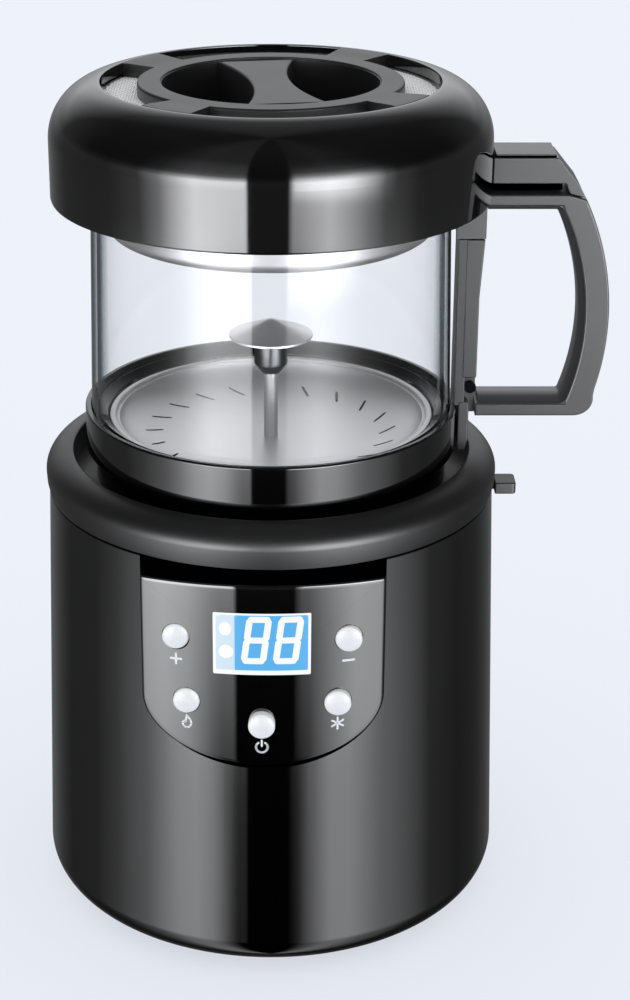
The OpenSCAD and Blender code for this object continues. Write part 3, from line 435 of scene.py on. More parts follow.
def carve(obj, cutter):
    """Takes one closed shape out of another, and keeps only the result."""
    modifier = obj.modifiers.new("Cut", "BOOLEAN")
    modifier.object, modifier.operation, modifier.solver = cutter, "DIFFERENCE", "EXACT"
    bpy.context.view_layer.update()
    result = bpy.data.meshes.new_from_object(obj.evaluated_get(bpy.context.evaluated_depsgraph_get()))
    obj.modifiers.clear()
    obj.data = result
    bpy.data.objects.remove(cutter)


# ---- materials ----
# slow changes of the roughness: one about every 45 mm, so this many in a metre
CLOUDS = 22.0


def add(tree, kind, inputs=None, **settings):
    """Adds a node with its settings; an input takes a value or the socket that feeds it."""
    node = tree.nodes.new(kind)
    for key, value in settings.items():
        setattr(node, key, value)
    for key, value in (inputs or {}).items():
        if isinstance(value, bpy.types.NodeSocket):
            tree.links.new(value, node.inputs[key])
        else:
            node.inputs[key].default_value = value
    return node


def surface(name, colour, rough, grain=None, **sockets):
    """A Principled material with a fine surface grain that varies its roughness and its bump.

    grain is (size in mm, height in mm, spread of roughness).
    """
    material = bpy.data.materials.new(name)
    material.use_nodes = True
    tree = material.node_tree
    tree.nodes.clear()
    size, height, spread = grain or (0.6, 0.01, 0.04)
    place = add(tree, "ShaderNodeTexCoord")
    where = place.outputs["Object"]
    noise = add(tree, "ShaderNodeTexNoise", {"Vector": where, "Scale": 1 / (size * MM), "Detail": 3.0})
    cloud = add(tree, "ShaderNodeTexNoise", {"Vector": where, "Scale": CLOUDS, "Detail": 4.0})
    parts = {0: noise.outputs["Fac"], 1: cloud.outputs["Fac"]}
    both = add(tree, "ShaderNodeMath", parts, operation="ADD")
    spans = {"From Min": 0.6, "From Max": 1.4, "To Min": rough - spread / 2, "To Max": rough + spread / 2}
    roughness = add(tree, "ShaderNodeMapRange", {"Value": both.outputs[0], **spans})
    grain_depth = {"Height": noise.outputs["Fac"], "Distance": height * MM, "Strength": 1.0}
    bump = add(tree, "ShaderNodeBump", grain_depth)
    skin = {"Base Color": colour, "Roughness": roughness.outputs[0], "Normal": bump.outputs["Normal"]}
    shader = add(tree, "ShaderNodeBsdfPrincipled", {**skin, **sockets})
    add(tree, "ShaderNodeOutputMaterial", {"Surface": shader.outputs[0]})
    return material


@cache
def gloss_black_abs():
    """ABS moulded in a polished tool: near black, mirror-like, with the faint waviness of a moulding."""
    colour = bpy.context.scene.roaster_colours.body
    return surface("gloss_black_abs", tuple(colour), 0.05, (9.0, 0.003, 0.02), IOR=1.85)


@cache
def clear_coated_abs():
    """The same ABS under a clear hard coat, as on the control panel: deeper gloss than the body."""
    colour = bpy.context.scene.roaster_colours.body
    return surface("clear_coated_abs", tuple(colour), 0.03, (12.0, 0.0015, 0.01), IOR=1.97)


@cache
def satin_black_abs():
    """ABS moulded in a spark-eroded tool: charcoal, with a fine even grain that spreads highlights."""
    return surface("satin_black_abs", rgb("#0c0c0d"), 0.4, (0.35, 0.012, 0.06), IOR=1.86)


@cache
def semi_gloss_abs():
    """ABS moulded in a lightly polished tool, as on the handle: dark grey with soft reflections."""
    return surface("semi_gloss_abs", rgb("#373739"), 0.3, (0.8, 0.004, 0.05), IOR=1.8)


@cache
def white_abs():
    """White ABS of the keys: opaque, smooth, a little soft in the light."""
    return surface("white_abs", rgb("#f3f5f7"), 0.28, (0.5, 0.002, 0.05), IOR=1.5)


@cache
def satin_steel():
    """Stainless steel sheet with a satin rolled finish: pale grey metal with soft reflections."""
    return surface("satin_steel", rgb("#eaebed"), 0.4, (0.5, 0.006, 0.12), Metallic=0.9)


@cache
def polished_steel():
    """Ground and polished stainless rod: bright metal with sharp reflections."""
    return surface("polished_steel", rgb("#f0f1f2"), 0.14, (0.6, 0.001, 0.05), Metallic=1.0)


@cache
def perforated_steel():
    """Punched stainless sheet drawn as a matt, pale grey non-metal that scatters most of the light; its
    paleness is partly the steel's own and partly painted sheen.
    """
    return surface("perforated_steel", rgb("#f3f4f5"), 0.7, (0.5, 0.003, 0.1), IOR=1.25)


@cache
def zinc_steel():
    """Steel screws drawn near black: dark metal, slightly blue."""
    return surface("zinc_steel", rgb("#0d0e10"), 0.55, (0.4, 0.004, 0.15), Metallic=1.0)


@cache
def dulled_steel():
    """Stainless steel dulled by heat: a grey metal with soft dark reflections."""
    return surface("dulled_steel", rgb("#7d7f81"), 0.3, (0.8, 0.004, 0.12), Metallic=1.0)


@cache
def ground_steel():
    """Ground stainless rod: bright metal whose fine scratches spread its reflections."""
    return surface("ground_steel", rgb("#eff0f1"), 0.42, (0.6, 0.002, 0.08), Metallic=0.8)


@cache
def aluminised_sheet():
    """Aluminised steel sheet: dull grey metal with a spangled coat."""
    return surface("aluminised_sheet", rgb("#9da0a3"), 0.5, (2.5, 0.01, 0.25), Metallic=1.0)


@cache
def glass_filled_nylon():
    """Glass-filled nylon of the blower wheel: dark grey with a dry, streaky skin."""
    return surface("glass_filled_nylon", rgb("#3a3c40"), 0.55, (1.2, 0.02, 0.15), IOR=1.53)


@cache
def mica_sheet():
    """Pressed mica board: straw-coloured flakes with a dull sheen."""
    return surface("mica_sheet", rgb("#b8a98a"), 0.6, (3.0, 0.03, 0.25), IOR=1.56)


@cache
def nichrome_wire():
    """Heater wire with an oxide skin: dark grey metal."""
    return surface("nichrome_wire", rgb("#6b6d70"), 0.5, (0.5, 0.01, 0.2), Metallic=1.0)


@cache
def circuit_board():
    """Glass-epoxy board with green solder mask."""
    return surface("circuit_board", rgb("#1f5a34"), 0.35, (1.5, 0.01, 0.1), IOR=1.5)


@cache
def foot_rubber():
    """Black moulded rubber: matt, with a dusty skin."""
    return surface("foot_rubber", rgb("#161617"), 0.8, (0.6, 0.03, 0.1), IOR=1.52)


@cache
def silicone():
    """Translucent white silicone of the seals."""
    return surface("silicone", rgb("#d9d4cc"), 0.45, (0.8, 0.01, 0.1), IOR=1.41)


@cache
def white_print():
    """White pad-printed ink: flat and dense."""
    return surface("white_print", rgb("#e9edf0"), 0.5, (0.2, 0.003, 0.08), IOR=1.5)


@cache
def shadow_gap():
    """Painted shade: the dark inside of a slot or gap, where light is lost, drawn near black with no
    reflection.
    """
    return surface("shadow_gap", rgb("#010101"), 0.9, (0.6, 0.01, 0.1), IOR=1.01)


def lit(name, colour, strength, rough):
    """A backlit surface: its colour glows evenly from a dark ground, behind a smooth cover."""
    glow = {"Emission Color": colour, "Emission Strength": strength}
    return surface(name, rgb("#08090a"), rough, (0.4, 0.001, 0.03), **glow)


@cache
def display_blue():
    """Blue backlit liquid crystal field."""
    return lit("display_blue", tuple(bpy.context.scene.roaster_colours.display), 1.0, 0.12)


@cache
def display_pale():
    """The side field of the display, washed nearly white by its lamp."""
    return lit("display_pale", rgb("#d3e8f7"), 0.95, 0.12)


@cache
def display_white():
    """White lit parts of the display: digits, signs and border."""
    return lit("display_white", rgb("#fcfeff"), 0.97, 0.12)


@cache
def borosilicate_glass():
    """Drawn borosilicate tube: clear, with sharp reflections, and painted shade where it is seen edge on.

    The share that mirrors is 0.022 + 0.75 (1 - cos)^5, the same from both sides of the wall.
    """
    material = bpy.data.materials.new("borosilicate_glass")
    material.use_nodes = True
    tree = material.node_tree
    tree.nodes.clear()
    facing = add(tree, "ShaderNodeLayerWeight", {"Blend": 0.5}).outputs["Facing"]
    # painted shade: what is seen through the wall darkens where the wall is seen edge on
    edge_on_shade = add(tree, "ShaderNodeValToRGB", {"Fac": facing})
    ends = edge_on_shade.color_ramp.elements
    ends[0].position, ends[0].color = 0.66, rgb("#fefefe")
    ends[1].position, ends[1].color = 0.88, rgb("#1c2022")
    ends.new(0.75).color = rgb("#dde2e3")
    clear = add(tree, "ShaderNodeBsdfTransparent", {"Color": edge_on_shade.outputs["Color"]})
    gloss = add(
        tree, "ShaderNodeBsdfPrincipled", {"Base Color": rgb("#ffffff"), "Metallic": 1.0, "Roughness": 0.02}
    )
    steep = add(tree, "ShaderNodeMath", {0: facing, 1: 5.0}, operation="POWER").outputs[0]
    mirror = add(tree, "ShaderNodeMath", {0: steep, 1: 0.75, 2: 0.022}, operation="MULTIPLY_ADD").outputs[0]
    both = add(tree, "ShaderNodeMixShader", {0: mirror, 1: clear.outputs[0], 2: gloss.outputs[0]})
    add(tree, "ShaderNodeOutputMaterial", {"Surface": both.outputs[0]})
    return material


FINISHES = {
    "gloss_black_plastic": gloss_black_abs,
    "coated_black_plastic": clear_coated_abs,
    "perforated_steel": perforated_steel,
    "satin_black_plastic": satin_black_abs,
    "gloss_grey_black_plastic": semi_gloss_abs,
    "white_plastic": white_abs,
    "stainless_steel": satin_steel,
    "polished_steel": polished_steel,
    "zinc_steel": zinc_steel,
    "dulled_steel": dulled_steel,
    "ground_steel": ground_steel,
    "aluminised_steel": aluminised_sheet,
    "grey_plastic": glass_filled_nylon,
    "mica_board": mica_sheet,
    "resistance_wire": nichrome_wire,
    "circuit_board": circuit_board,
    "foot_rubber": foot_rubber,
    "silicone": silicone,
    "white_print": white_print,
    "shadow_gap": shadow_gap,
    "display_blue": display_blue,
    "display_pale": display_pale,
    "display_white": display_white,
    "clear_glass": borosilicate_glass,
    "clear_window": borosilicate_glass,
}


# ---- operators ----
class Step(bpy.types.Operator):
    """What all the roaster's steps share."""

    bl_options = {"REGISTER"}

    @property
    def sizes(self):
        """The sizes that a user may change."""
        return bpy.context.scene.roaster_sizes


class ROASTER_OT_frame_finishes(Step):
    """Give each CAD node the finish of its material slot."""

    bl_idname = "roaster.frame_finishes"
    bl_label = "Finishes of the frame"

    def execute(self, context):
        for part in frame["record"]["subparts"]:
            mesh = NODES[part["node"]].data
            mesh.materials.clear()
            mesh.materials.append(FINISHES[part["material_slot"]]())
        return {"FINISHED"}


class ROASTER_OT_body(Step):
    """Build the tapered body shell, with its ways in for the control panel and the release button."""

    bl_idname = "roaster.body"
    bl_label = "Body shell"

    def execute(self, context):
        wall, edge_r, edge_z = 2.5, BASE_EDGE_R, Z_UNDER + BASE_EDGE_R
        # the two points at z_aim only steer the arcs at the top of the wall
        z_aim, inner_r = 100.0, SHOULDER_R - wall
        rim = [[BASE_R, z_aim], [SHOULDER_R, Z_BODY_TOP], [inner_r, Z_BODY_TOP], [BASE_R - wall, z_aim]]
        profile = np.concatenate([
            arc(BASE_R - edge_r, edge_z, edge_r, edge_r, -90, 0, 16),
            rounded(rim, [0, 0.4, 0.4, 0], closed=False)[1:-1],
            arc(BASE_R - edge_r, edge_z, edge_r - wall, edge_r - wall, 0, -90, 12),
        ])
        opening = through_panel(panel_outline(0.0, Z_BODY_TOP + 4), 25.0, -75.0)
        gap_side, gap_top = 0.4, 0.35
        side = RELEASE_HALF + gap_side
        window = rounded(rectangle(70.0, -side, 96.0, side), 0.5)
        window = lying(slab(window, RELEASE_THICK / 2 + gap_top, 0.01, 1), box_middle("release_button"))
        shape = turned(profile, self.sizes.segments)
        piece("body_shell", shape, "gloss_black_plastic", "base", ["housing"], cuts=[opening, window])
        return {"FINISHED"}


def panel_outline(grow, top):
    """Outline of the control panel: straight sides, square top corners and a half-oval foot."""
    w = PANEL_HALF + grow
    foot = arc(0, Z_PANEL_ROUND, w, PANEL_ROUND_H + grow, 0, -180, 40)
    return np.concatenate([[[w, top]], foot, [[-w, top]]])


def through_panel(outline, half, middle):
    """A cutter that goes through the panel from its front: the outline as a block."""
    points, faces = upright(slab(outline, half, 0.01, 1), middle)
    return about_z(points, PANEL_TURN), faces


class ROASTER_OT_panel(Step):
    """Build the control panel with a bore for each key, and walls behind it and its slot, painted near black
    as their shade.
    """

    bl_idname = "roaster.panel"
    bl_label = "Control panel"

    def execute(self, context):
        gap, depth, corner_r, bore_r = 0.2, 3.6, 0.8, KEY_R + 0.2
        corners = panel_outline(-gap, Z_PANEL_TOP)
        radii = [corner_r] + [0] * (len(corners) - 2) + [corner_r]
        outline = evenly(rounded(corners, radii), 1.6)
        bores = [
            through_panel(arc(x, z + Z_UNDER, bore_r, bore_r, 0, 354, 59), 20.0, -80.0)
            for x, z in KEY_PLACES.values()
        ]
        shape = panel_plate(outline, PANEL_PROUD, depth, self.sizes.panel_edge, 26)
        piece(
            "control_panel_face", shape, "coated_black_plastic", "base", ["control_panel"],
            cuts=bores,
        )
        # the wall behind the panel lies deep enough to stay inside the body shell at its corners
        back_lift, back_thick, wall_in, wall_out, half_angle = -5.0, 1.0, 81.5, 82.0, 32.5
        back = evenly(panel_outline(1.6, Z_PANEL_TOP - 1.0), 4.0)
        slot_wall = rectangle(wall_in, Z_PANEL_TOP - 2, wall_out, Z_BODY_TOP + 0.35)
        points, faces = turned(slot_wall, 72, -90 - half_angle, -90 + half_angle)
        shape = joined(panel_plate(back, back_lift, back_thick, 0.2, 8), (about_z(points, PANEL_TURN), faces))
        # the walls behind the panel and in its slot wear painted shade: near black, with no reflection
        piece("panel_backing_shade", shape, "shadow_gap", "base")
        return {"FINISHED"}


class ROASTER_OT_keys(Step):
    """Build the five domed keys."""

    bl_idname = "roaster.keys"
    bl_label = "Keys"

    def execute(self, context):
        r, dome, stand, behind = KEY_R, 16.0, 1.9, 1.4
        sag = dome - math.sqrt(dome * dome - r * r)
        crown = arc(0, -dome, dome, dome, 90, 90 - math.degrees(math.asin((r - 0.5) / dome)), 10)
        for name, (x, z) in KEY_PLACES.items():
            z_key = z + Z_UNDER
            face_y = -math.sqrt(body_radius(z_key) ** 2 - x * x) - PANEL_PROUD - stand
            # the back stays clear of the wall behind the panel, also when the key is pressed
            depth = behind - float(panel_front(x, z_key, PANEL_PROUD)) - face_y
            side = [[r - 0.5, -sag * 0.8], [r, -sag - 0.25], [r, -depth], [0, -depth]]
            profile = np.concatenate([crown, rounded(side, [0, 0.3, 0, 0], closed=False)])
            points, faces = turned(profile, 72)
            points = np.stack([x + points[:, 0], face_y - points[:, 2], z_key + points[:, 1]], -1)
            shape = about_z(points, PANEL_TURN), faces
            piece("key_" + name, shape, "white_plastic", "key_" + name, ["button_" + name])
        return {"FINISHED"}


def strokes(lines, width, lift):
    """Printed lines on the panel: each line from a to b is a bar of the given width with round ends."""
    thick, edge = 0.12, 0.03
    shapes = []
    for (ax, az), (bx, bz) in lines:
        angle = math.degrees(math.atan2(bz - az, bx - ax))
        ends = [arc(bx, bz, width / 2, width / 2, angle - 90, angle + 90, 6),
                arc(ax, az, width / 2, width / 2, angle + 90, angle + 270, 6)]
        shapes.append(panel_plate(evenly(np.concatenate(ends), 1.0), lift, thick, edge, 3))
    return joined(*shapes)


def chained(points):
    """The lines from each point to the next."""
    return list(zip(points[:-1], points[1:]))


class ROASTER_OT_signs(Step):
    """Print a plain sign under each key: plus, minus, flame, fan and power."""

    bl_idname = "roaster.signs"
    bl_label = "Signs"

    def execute(self, context):
        lift, drop, thick, thin = PANEL_PROUD + 0.06, 8.6, 0.85, 0.7
        under = {k: (x, z + Z_UNDER - drop) for k, (x, z) in KEY_PLACES.items()}
        arm = 1.9
        x, z = under["time_up"]
        signs = [strokes([((x - arm, z), (x + arm, z)), ((x, z - arm), (x, z + arm))], thick, lift)]
        x, z = under["time_down"]
        signs.append(strokes([((x - arm, z), (x + arm, z))], thick, lift))
        x, z = under["roast"]
        flame = np.array([[0, 2.6], [1.3, 0.9], [1.7, -0.6], [1.0, -1.9], [0, -2.3],
                          [-1.0, -1.9], [-1.7, -0.6], [-0.9, 0.3], [-0.5, -0.2], [0, 2.6]])
        signs.append(strokes(chained(flame + [x, z]), thin, lift))
        x, z = under["cool"]
        blade = 2.3
        tips = arc(x, z, blade, blade, 30, 330, 5)
        signs.append(strokes([((x, z), tip) for tip in tips], thin, lift))
        # the power sign stands a little lower, clear of its key
        x, z = under["power"]
        z, ring_r, line = z - 0.9, 2.1, 0.75
        signs.append(strokes(chained(arc(x, z, ring_r, ring_r, 125, 415, 19)), line, lift))
        signs.append(strokes([((x, z + 0.5), (x, z + 2.7))], line, lift))
        piece("key_signs", joined(*signs), "white_print", "base")
        return {"FINISHED"}


def display_sheet(name, corners, radius, depth, edge, lift, finish, nodes=()):
    """One sheet of the display, bent as the panel is."""
    outline = evenly(rounded(rectangle(*corners), radius), 1.5)
    piece(name, panel_plate(outline, lift, depth, edge, 10), finish, "base", nodes)


class ROASTER_OT_display(Step):
    """Build the lit display: white border, blue field, pale side field, two digits and two dots."""

    bl_idname = "roaster.display"
    bl_label = "Display"

    def execute(self, context):
        z0, lift = DISPLAY_Z, PANEL_PROUD + 0.12
        side, split, low, high = 16.3, -9.6, z0 - 9.6, z0 + 11.6
        border = (-17.3, z0 - 11.4, 17.3, z0 + 12.3)
        window = ["display_window"]
        display_sheet("display_border", border, 0.5, 1.4, 0.15, lift, "display_white", window)
        display_sheet("display_side", (-side, low, split, high), 0.3, 0.3, 0.03, lift + 0.03, "display_pale")
        display_sheet("display_field", (split, low, side, high), 0.3, 0.3, 0.03, lift + 0.04, "display_blue")
        # the seven bars of a digit, from (0, 0) at its foot to (1, 1) at its head
        bars = np.array([
            ((0.08, 0), (0.92, 0)), ((0.08, 0.5), (0.92, 0.5)), ((0.08, 1), (0.92, 1)),
            ((0, 0.06), (0, 0.44)), ((1, 0.06), (1, 0.44)), ((0, 0.56), (0, 0.94)), ((1, 0.56), (1, 0.94)),
        ])
        u, v = bars[..., 0], bars[..., 1]
        tall, wide, slant, foot, bar = self.sizes.digit_height, 6.7, 0.13, z0 - 5.9, 2.3
        lefts = (-6.3, 5.0)
        digits = [np.stack([x + u * wide + v * tall * slant, foot + v * tall], -1) for x in lefts]
        shape = strokes(np.concatenate(digits), bar, lift + 0.09)
        piece("display_digits", shape, "display_white", "base")
        # the two lit spots on the side field are ovals
        dots = [arc(-12.9, z0 + 6.2, 2.2, 2.6, 0, 350, 35), arc(-12.6, z0 - 2.6, 2.6, 2.6, 0, 350, 35)]
        shape = joined(*[panel_plate(dot, lift + 0.05, 0.2, 0.03, 4) for dot in dots])
        piece("display_signs", shape, "display_white", "base")
        return {"FINISHED"}


class ROASTER_OT_shoulder(Step):
    """Build the satin shoulder ring with the well that the chamber stands in."""

    bl_idname = "roaster.shoulder"
    bl_label = "Shoulder ring"

    def execute(self, context):
        z_ring, z_lip, r = Z_BODY_TOP + 0.4, RING_HIGH[2], RING_HIGH[0]
        crown_cx, crown_rz = LIP_R + 0.8, z_lip - z_ring - 7.2
        crown_z = z_lip - crown_rz
        z_well, z_grille, well_r, under_r = z_lip - 9.4, z_lip - 11.8, 58.0, 76.9
        skirt_in, skirt_out, lip_edge = SHOULDER_R - 4.7, SHOULDER_R - 2.7, 0.7
        profile = np.concatenate([
            [[well_r, z_grille], [under_r, z_grille], [under_r, z_lip - 3.0]],
            [[skirt_in, z_ring + 1.2], [skirt_in, z_ring - 6], [skirt_out, z_ring - 6]],
            [[skirt_out, z_ring], [SHOULDER_R - 0.35, z_ring], [SHOULDER_R, z_ring + 0.25]],
            [[(SHOULDER_R + r) / 2 + 0.3, (z_ring + crown_z) / 2]],
            arc(crown_cx, crown_z, r - crown_cx, crown_rz, 0, 90, 24),
            arc(LIP_R + lip_edge, z_lip - lip_edge, lip_edge, lip_edge, 100, 180, 4),
            [[LIP_R, z_well], [well_r, z_well]],
        ])
        shape = turned(profile, self.sizes.segments)
        piece("shoulder_moulding", shape, "satin_black_plastic", "base", ["shoulder_ring"])
        return {"FINISHED"}


class ROASTER_OT_release(Step):
    """Build the release button with its rounded corners and its neck."""

    bl_idname = "roaster.release"
    bl_label = "Release button"

    def execute(self, context):
        x0, x1, x_neck, w, neck_half = 85.2, RELEASE_HIGH[0], 66.0, RELEASE_HALF, 1.6
        z = box_middle("release_button")
        outline = rounded(rectangle(x0, -w, x1, w), [0.55, 1.4, 1.4, 0.55])
        neck = rounded(rectangle(x_neck, -neck_half, x0 + 1, neck_half), 0.35)
        shape = joined(lying(slab(outline, RELEASE_THICK / 2, 0.5), z), lying(slab(neck, neck_half, 0.3), z))
        piece("release_key", shape, "satin_black_plastic", "release", ["release_button"])
        return {"FINISHED"}


class ROASTER_OT_chamber(Step):
    """Build the black band round the foot of the chamber, with its ledges, and the glass tube."""

    bl_idname = "roaster.chamber"
    bl_label = "Chamber"

    def execute(self, context):
        n = self.sizes.segments
        z1, z_plug, z_band = BAND_HIGH[2], RING_HIGH[2] - 9.0, RING_HIGH[2] + 1.1
        plug_in, plug_out, band_r, seat_in = 62.5, 66.0, 69.5, 58.2
        band = rounded(
            [[plug_out, z_plug], [plug_out, z_band], [band_r, z_band], [band_r, z1], [67.4, z1],
             [67.4, z1 - 5.7], [64.6, z1 - 5.7], [64.6, z1 - 1.2], [61.2, z1 - 3.6], [60.6, z1 - 5.3],
             [seat_in, z1 - 5.3], [seat_in, z1 - 10.3], [plug_in, z_band], [plug_in, z_plug]],
            [0.3, 0.2, 0.9, 0.8, 0.2, 0, 0, 0.3, 0.3, 0.1, 0.1, 0.3, 0.3, 0.3],
        )
        piece("chamber_band", turned(band, n), "gloss_black_plastic", "chamber", ["chamber_collar"])
        r_foot, r_top, wall = GLASS_HIGH[0], 65.0, 2.2
        g0, g1 = GLASS_LOW[2], GLASS_HIGH[2]
        glass = [[r_foot - wall, g0], [r_foot, g0], [r_top, g1], [r_top - wall, g1]]
        glass = rounded(glass, [0.3, 0.3, 1.0, 1.0])
        piece("glass_tube", turned(glass, n), "clear_glass", "chamber", ["glass_cylinder"])
        return {"FINISHED"}


class ROASTER_OT_pan(Step):
    """Build the roasting pan with dark patches painted on it as the shade of its air slots, the centre rod,
    its hub and the deflector cap.
    """

    bl_idname = "roaster.pan"
    bl_label = "Pan and rod"

    def execute(self, context):
        rim, sheet, deep = PAN_HIGH[2], 1.0, 10.0
        floor = rim - deep
        cx, wall, lip_r = 30.0, 57.0, 60.4
        profile = np.concatenate([
            [[0.0, floor - 1.6], [cx, floor - sheet]],
            arc(cx, rim, wall + sheet - cx, deep + sheet, -84, -6, 14),
            rounded(
                [[wall + sheet, rim - sheet], [lip_r, rim - sheet], [lip_r, rim], [wall, rim]],
                [0.2, 0.3, 0.3, 0.8],
            ),
            arc(cx, rim, wall - cx, deep, -6, -90, 16),
            [[0.0, floor - 0.6]],
        ])
        shape = turned(profile, self.sizes.segments)
        piece("pan_dish", shape, "stainless_steel", "chamber", ["roasting_pan"])

        # one slot: a long round-ended outline, turned from the radius, laid on the bowl of the pan as a thin
        # dark sheet, painted shade in place of a hole
        slots, slot_r, slot_turn, straight, end_r, steps = 20, 44, math.radians(35), 3.4, 0.5, 28
        t = np.linspace(0, 2 * np.pi, steps, endpoint=False)
        along = np.clip(np.cos(t) * 6, -straight, straight) + end_r * np.cos(t)
        across = end_r * np.sin(t)
        u = slot_r + along * math.cos(slot_turn) - across * math.sin(slot_turn)
        v = along * math.sin(slot_turn) + across * math.cos(slot_turn)
        ring = np.stack([u, v], -1)
        middle = ring.mean(0)
        rows = np.stack([ring, (ring + middle) / 2, np.broadcast_to(middle, ring.shape)])
        r = np.linalg.norm(rows, axis=-1)
        # it lies just above the steel, so that it isn't lost in it
        above, thick = 0.04, 0.3
        z = rim - deep * np.sqrt(np.maximum(0, 1 - ((r - cx) / (wall - cx)) ** 2)) + above
        top = np.concatenate([rows, z[..., None]], -1)
        under = top[::-1] - [0, 0, thick]
        points = np.concatenate([top[::-1], under[::-1]]).reshape(-1, 3)
        faces = [grid_faces(6, steps)]
        shape = joined(*[(about_z(points, 2 * math.pi * k / slots), faces) for k in range(slots)])
        piece("pan_slots", shape, "shadow_gap", "chamber")

        rod_r, z0, z1 = 2.6, ROD_LOW[2], ROD_HIGH[2]
        rod = rounded([[0, z0], [rod_r, z0], [rod_r, z1], [0, z1]], [0, 0.3, 0.3, 0])
        piece("rod_bar", turned(rod, 96), "ground_steel", "chamber", ["centre_rod"])
        hub_r, z0, z1 = 6.2, HUB_LOW[2], HUB_HIGH[2]
        hub = [[0, z0], [3.5, z0], [hub_r, z0 + 3.6], [hub_r, z1], [0, z1]]
        hub = rounded(hub, [0, 0.4, 0.6, 0.3, 0])
        piece("hub_body", turned(hub, 96), "dulled_steel", "chamber", ["rod_hub"])
        cap_r, z0, z1 = 15.5, CAP_LOW[2], CAP_HIGH[2]
        cap = [[0, z0 + 0.2], [hub_r, z0 + 0.2], [cap_r, z0], [cap_r, z0 + 0.9], [2.0, z1 - 0.6], [0, z1]]
        cap = rounded(cap, [0, 0.3, 0.15, 0.4, 1.2, 0])
        piece("cap_cone", turned(cap, 128), "stainless_steel", "chamber", ["deflector_cap"])
        return {"FINISHED"}


class ROASTER_OT_handle(Step):
    """Build the D-shaped grip, the rib in its finger opening, and the stem with its screw recess."""

    bl_idname = "roaster.handle"
    bl_label = "Handle"

    def execute(self, context):
        grey = "gloss_grey_black_plastic"
        half, edge = (GRIP_HIGH[1] - GRIP_LOW[1]) / 2, self.sizes.edge
        cx, cz, r_in = 22.1, 231.54, 93.0
        r_out = GRIP_HIGH[0] - cx
        x_arm, x_back, x_tip, z_tip = 71.1, 76.1, 107.0, 276.6
        z_low, z_top = GRIP_LOW[2], GRIP_HIGH[2]
        z_finger, z_finger_top = z_low + 4.8, z_top - 4.2

        def angle(z, radius):
            """Where an arc of the grip passes a height, in degrees."""
            return math.degrees(math.asin((z - cz) / radius))

        inner = arc(cx, cz, r_in, r_in, angle(z_finger, r_in), angle(z_finger_top, r_in), 40)
        outer = arc(cx, cz, r_out, r_out, angle(z_tip, r_out), angle(z_low + 10.6, r_out), 48)
        outline = np.concatenate([
            [[x_arm, z_top], [x_tip, z_top]],
            outer,
            arc(outer[-1][0] - 7.5, z_low + 6.5, 7.2, 6.5, 10, -90, 10),
            [[x_back, z_low], [x_back, z_finger]],
            inner,
            [[x_arm, z_finger_top]],
        ])
        piece("grip", upright(slab(outline, half, edge)), grey, "chamber", ["handle_grip"])

        # the rib round the finger opening, with sloping sides
        path = np.concatenate([
            [[77.2, z_finger]], inner[:1], inner[3:-3], inner[-1:], [[78.4, z_finger_top]],
        ])
        path = rounded(path, [0, 3.0, *[0] * (len(inner) - 6), 3.0, 0], closed=False)
        foot, crest, rise = half - 0.5, half - 4.2, 2.1
        rib = [[-1.0, -foot], [0.0, -foot], [rise, -crest], [rise, crest], [0.0, foot], [-1.0, foot]]
        piece("grip_rib", upright(carried(path, rib)), grey, "chamber")

        s_half = (STEM_HIGH[1] - STEM_LOW[1]) / 2
        x_stem, z_strap, z_lug, z_screw = 71.0, STEM_LOW[2], STEM_HIGH[2], z_finger + 0.6
        core = rectangle(68.1, z_finger - 1, 71.9, z_lug)
        z_upper = z_screw + 9.6
        upper = [[x_stem, z_upper], [x_back, z_upper], [x_back, z_lug - 22], [77.5, z_lug], [x_stem, z_lug]]
        back = rectangle(x_stem, z_low, x_back, z_screw + 11)
        strap = [[69.8, z_strap], [72.7, z_strap], [73.7, z_strap + 4], [73.7, z_screw], [69.8, z_screw]]
        shape = joined(
            plate(core, 0.45, s_half - 0.6, 0.4),
            plate(upper, 0.55, s_half, 0.5),
            plate(back, 0.35, s_half - 2.4, 0.3, 2.1),
            plate(strap, [0.55, 0.8, 0.8, 0.55, 0.55], s_half - 0.3, 0.5),
        )
        piece("stem", shape, grey, "chamber", ["handle_stem"], sharp=12)
        return {"FINISHED"}


class ROASTER_OT_lid(Step):
    """Build the domed lid cover."""

    bl_idname = "roaster.lid"
    bl_label = "Lid cover"

    def execute(self, context):
        z_lid, z_crest, r = LID_LOW[2], LID_HIGH[2], LID_HIGH[0]
        bend, wall, vent_out, ledge_in, ledge_out = 20.0, 2.4, 60.5, 59.7, 62.5
        cx, cz = r - bend, z_crest - bend
        z_ledge, ledge = MESH_HIGH[2] + MESH_LIFT + 0.6, 0.6
        top = arc(cx, cz, bend, bend, 0, math.degrees(math.acos((vent_out + 0.6 - cx) / bend)), 36)
        z_vent = top[-1][1]
        profile = np.concatenate([
            [[r - 0.9, z_lid], [r - 0.25, z_lid + 0.2], [r, z_lid + 0.9]],
            top,
            [[vent_out + 0.15, z_vent - 0.15], [vent_out, z_vent - 0.7]],
            [[vent_out, z_ledge], [ledge_in, z_ledge]],
            [[ledge_in, z_ledge - ledge], [ledge_out, z_ledge - ledge]],
            arc(cx, cz, bend - wall, bend - wall, 78, 0, 20),
            [[r - wall, z_lid + 0.3], [r - wall + 0.4, z_lid]],
        ])
        piece("lid_dome", turned(profile, self.sizes.segments), "gloss_black_plastic", "lid", ["lid_cover"])
        return {"FINISHED"}


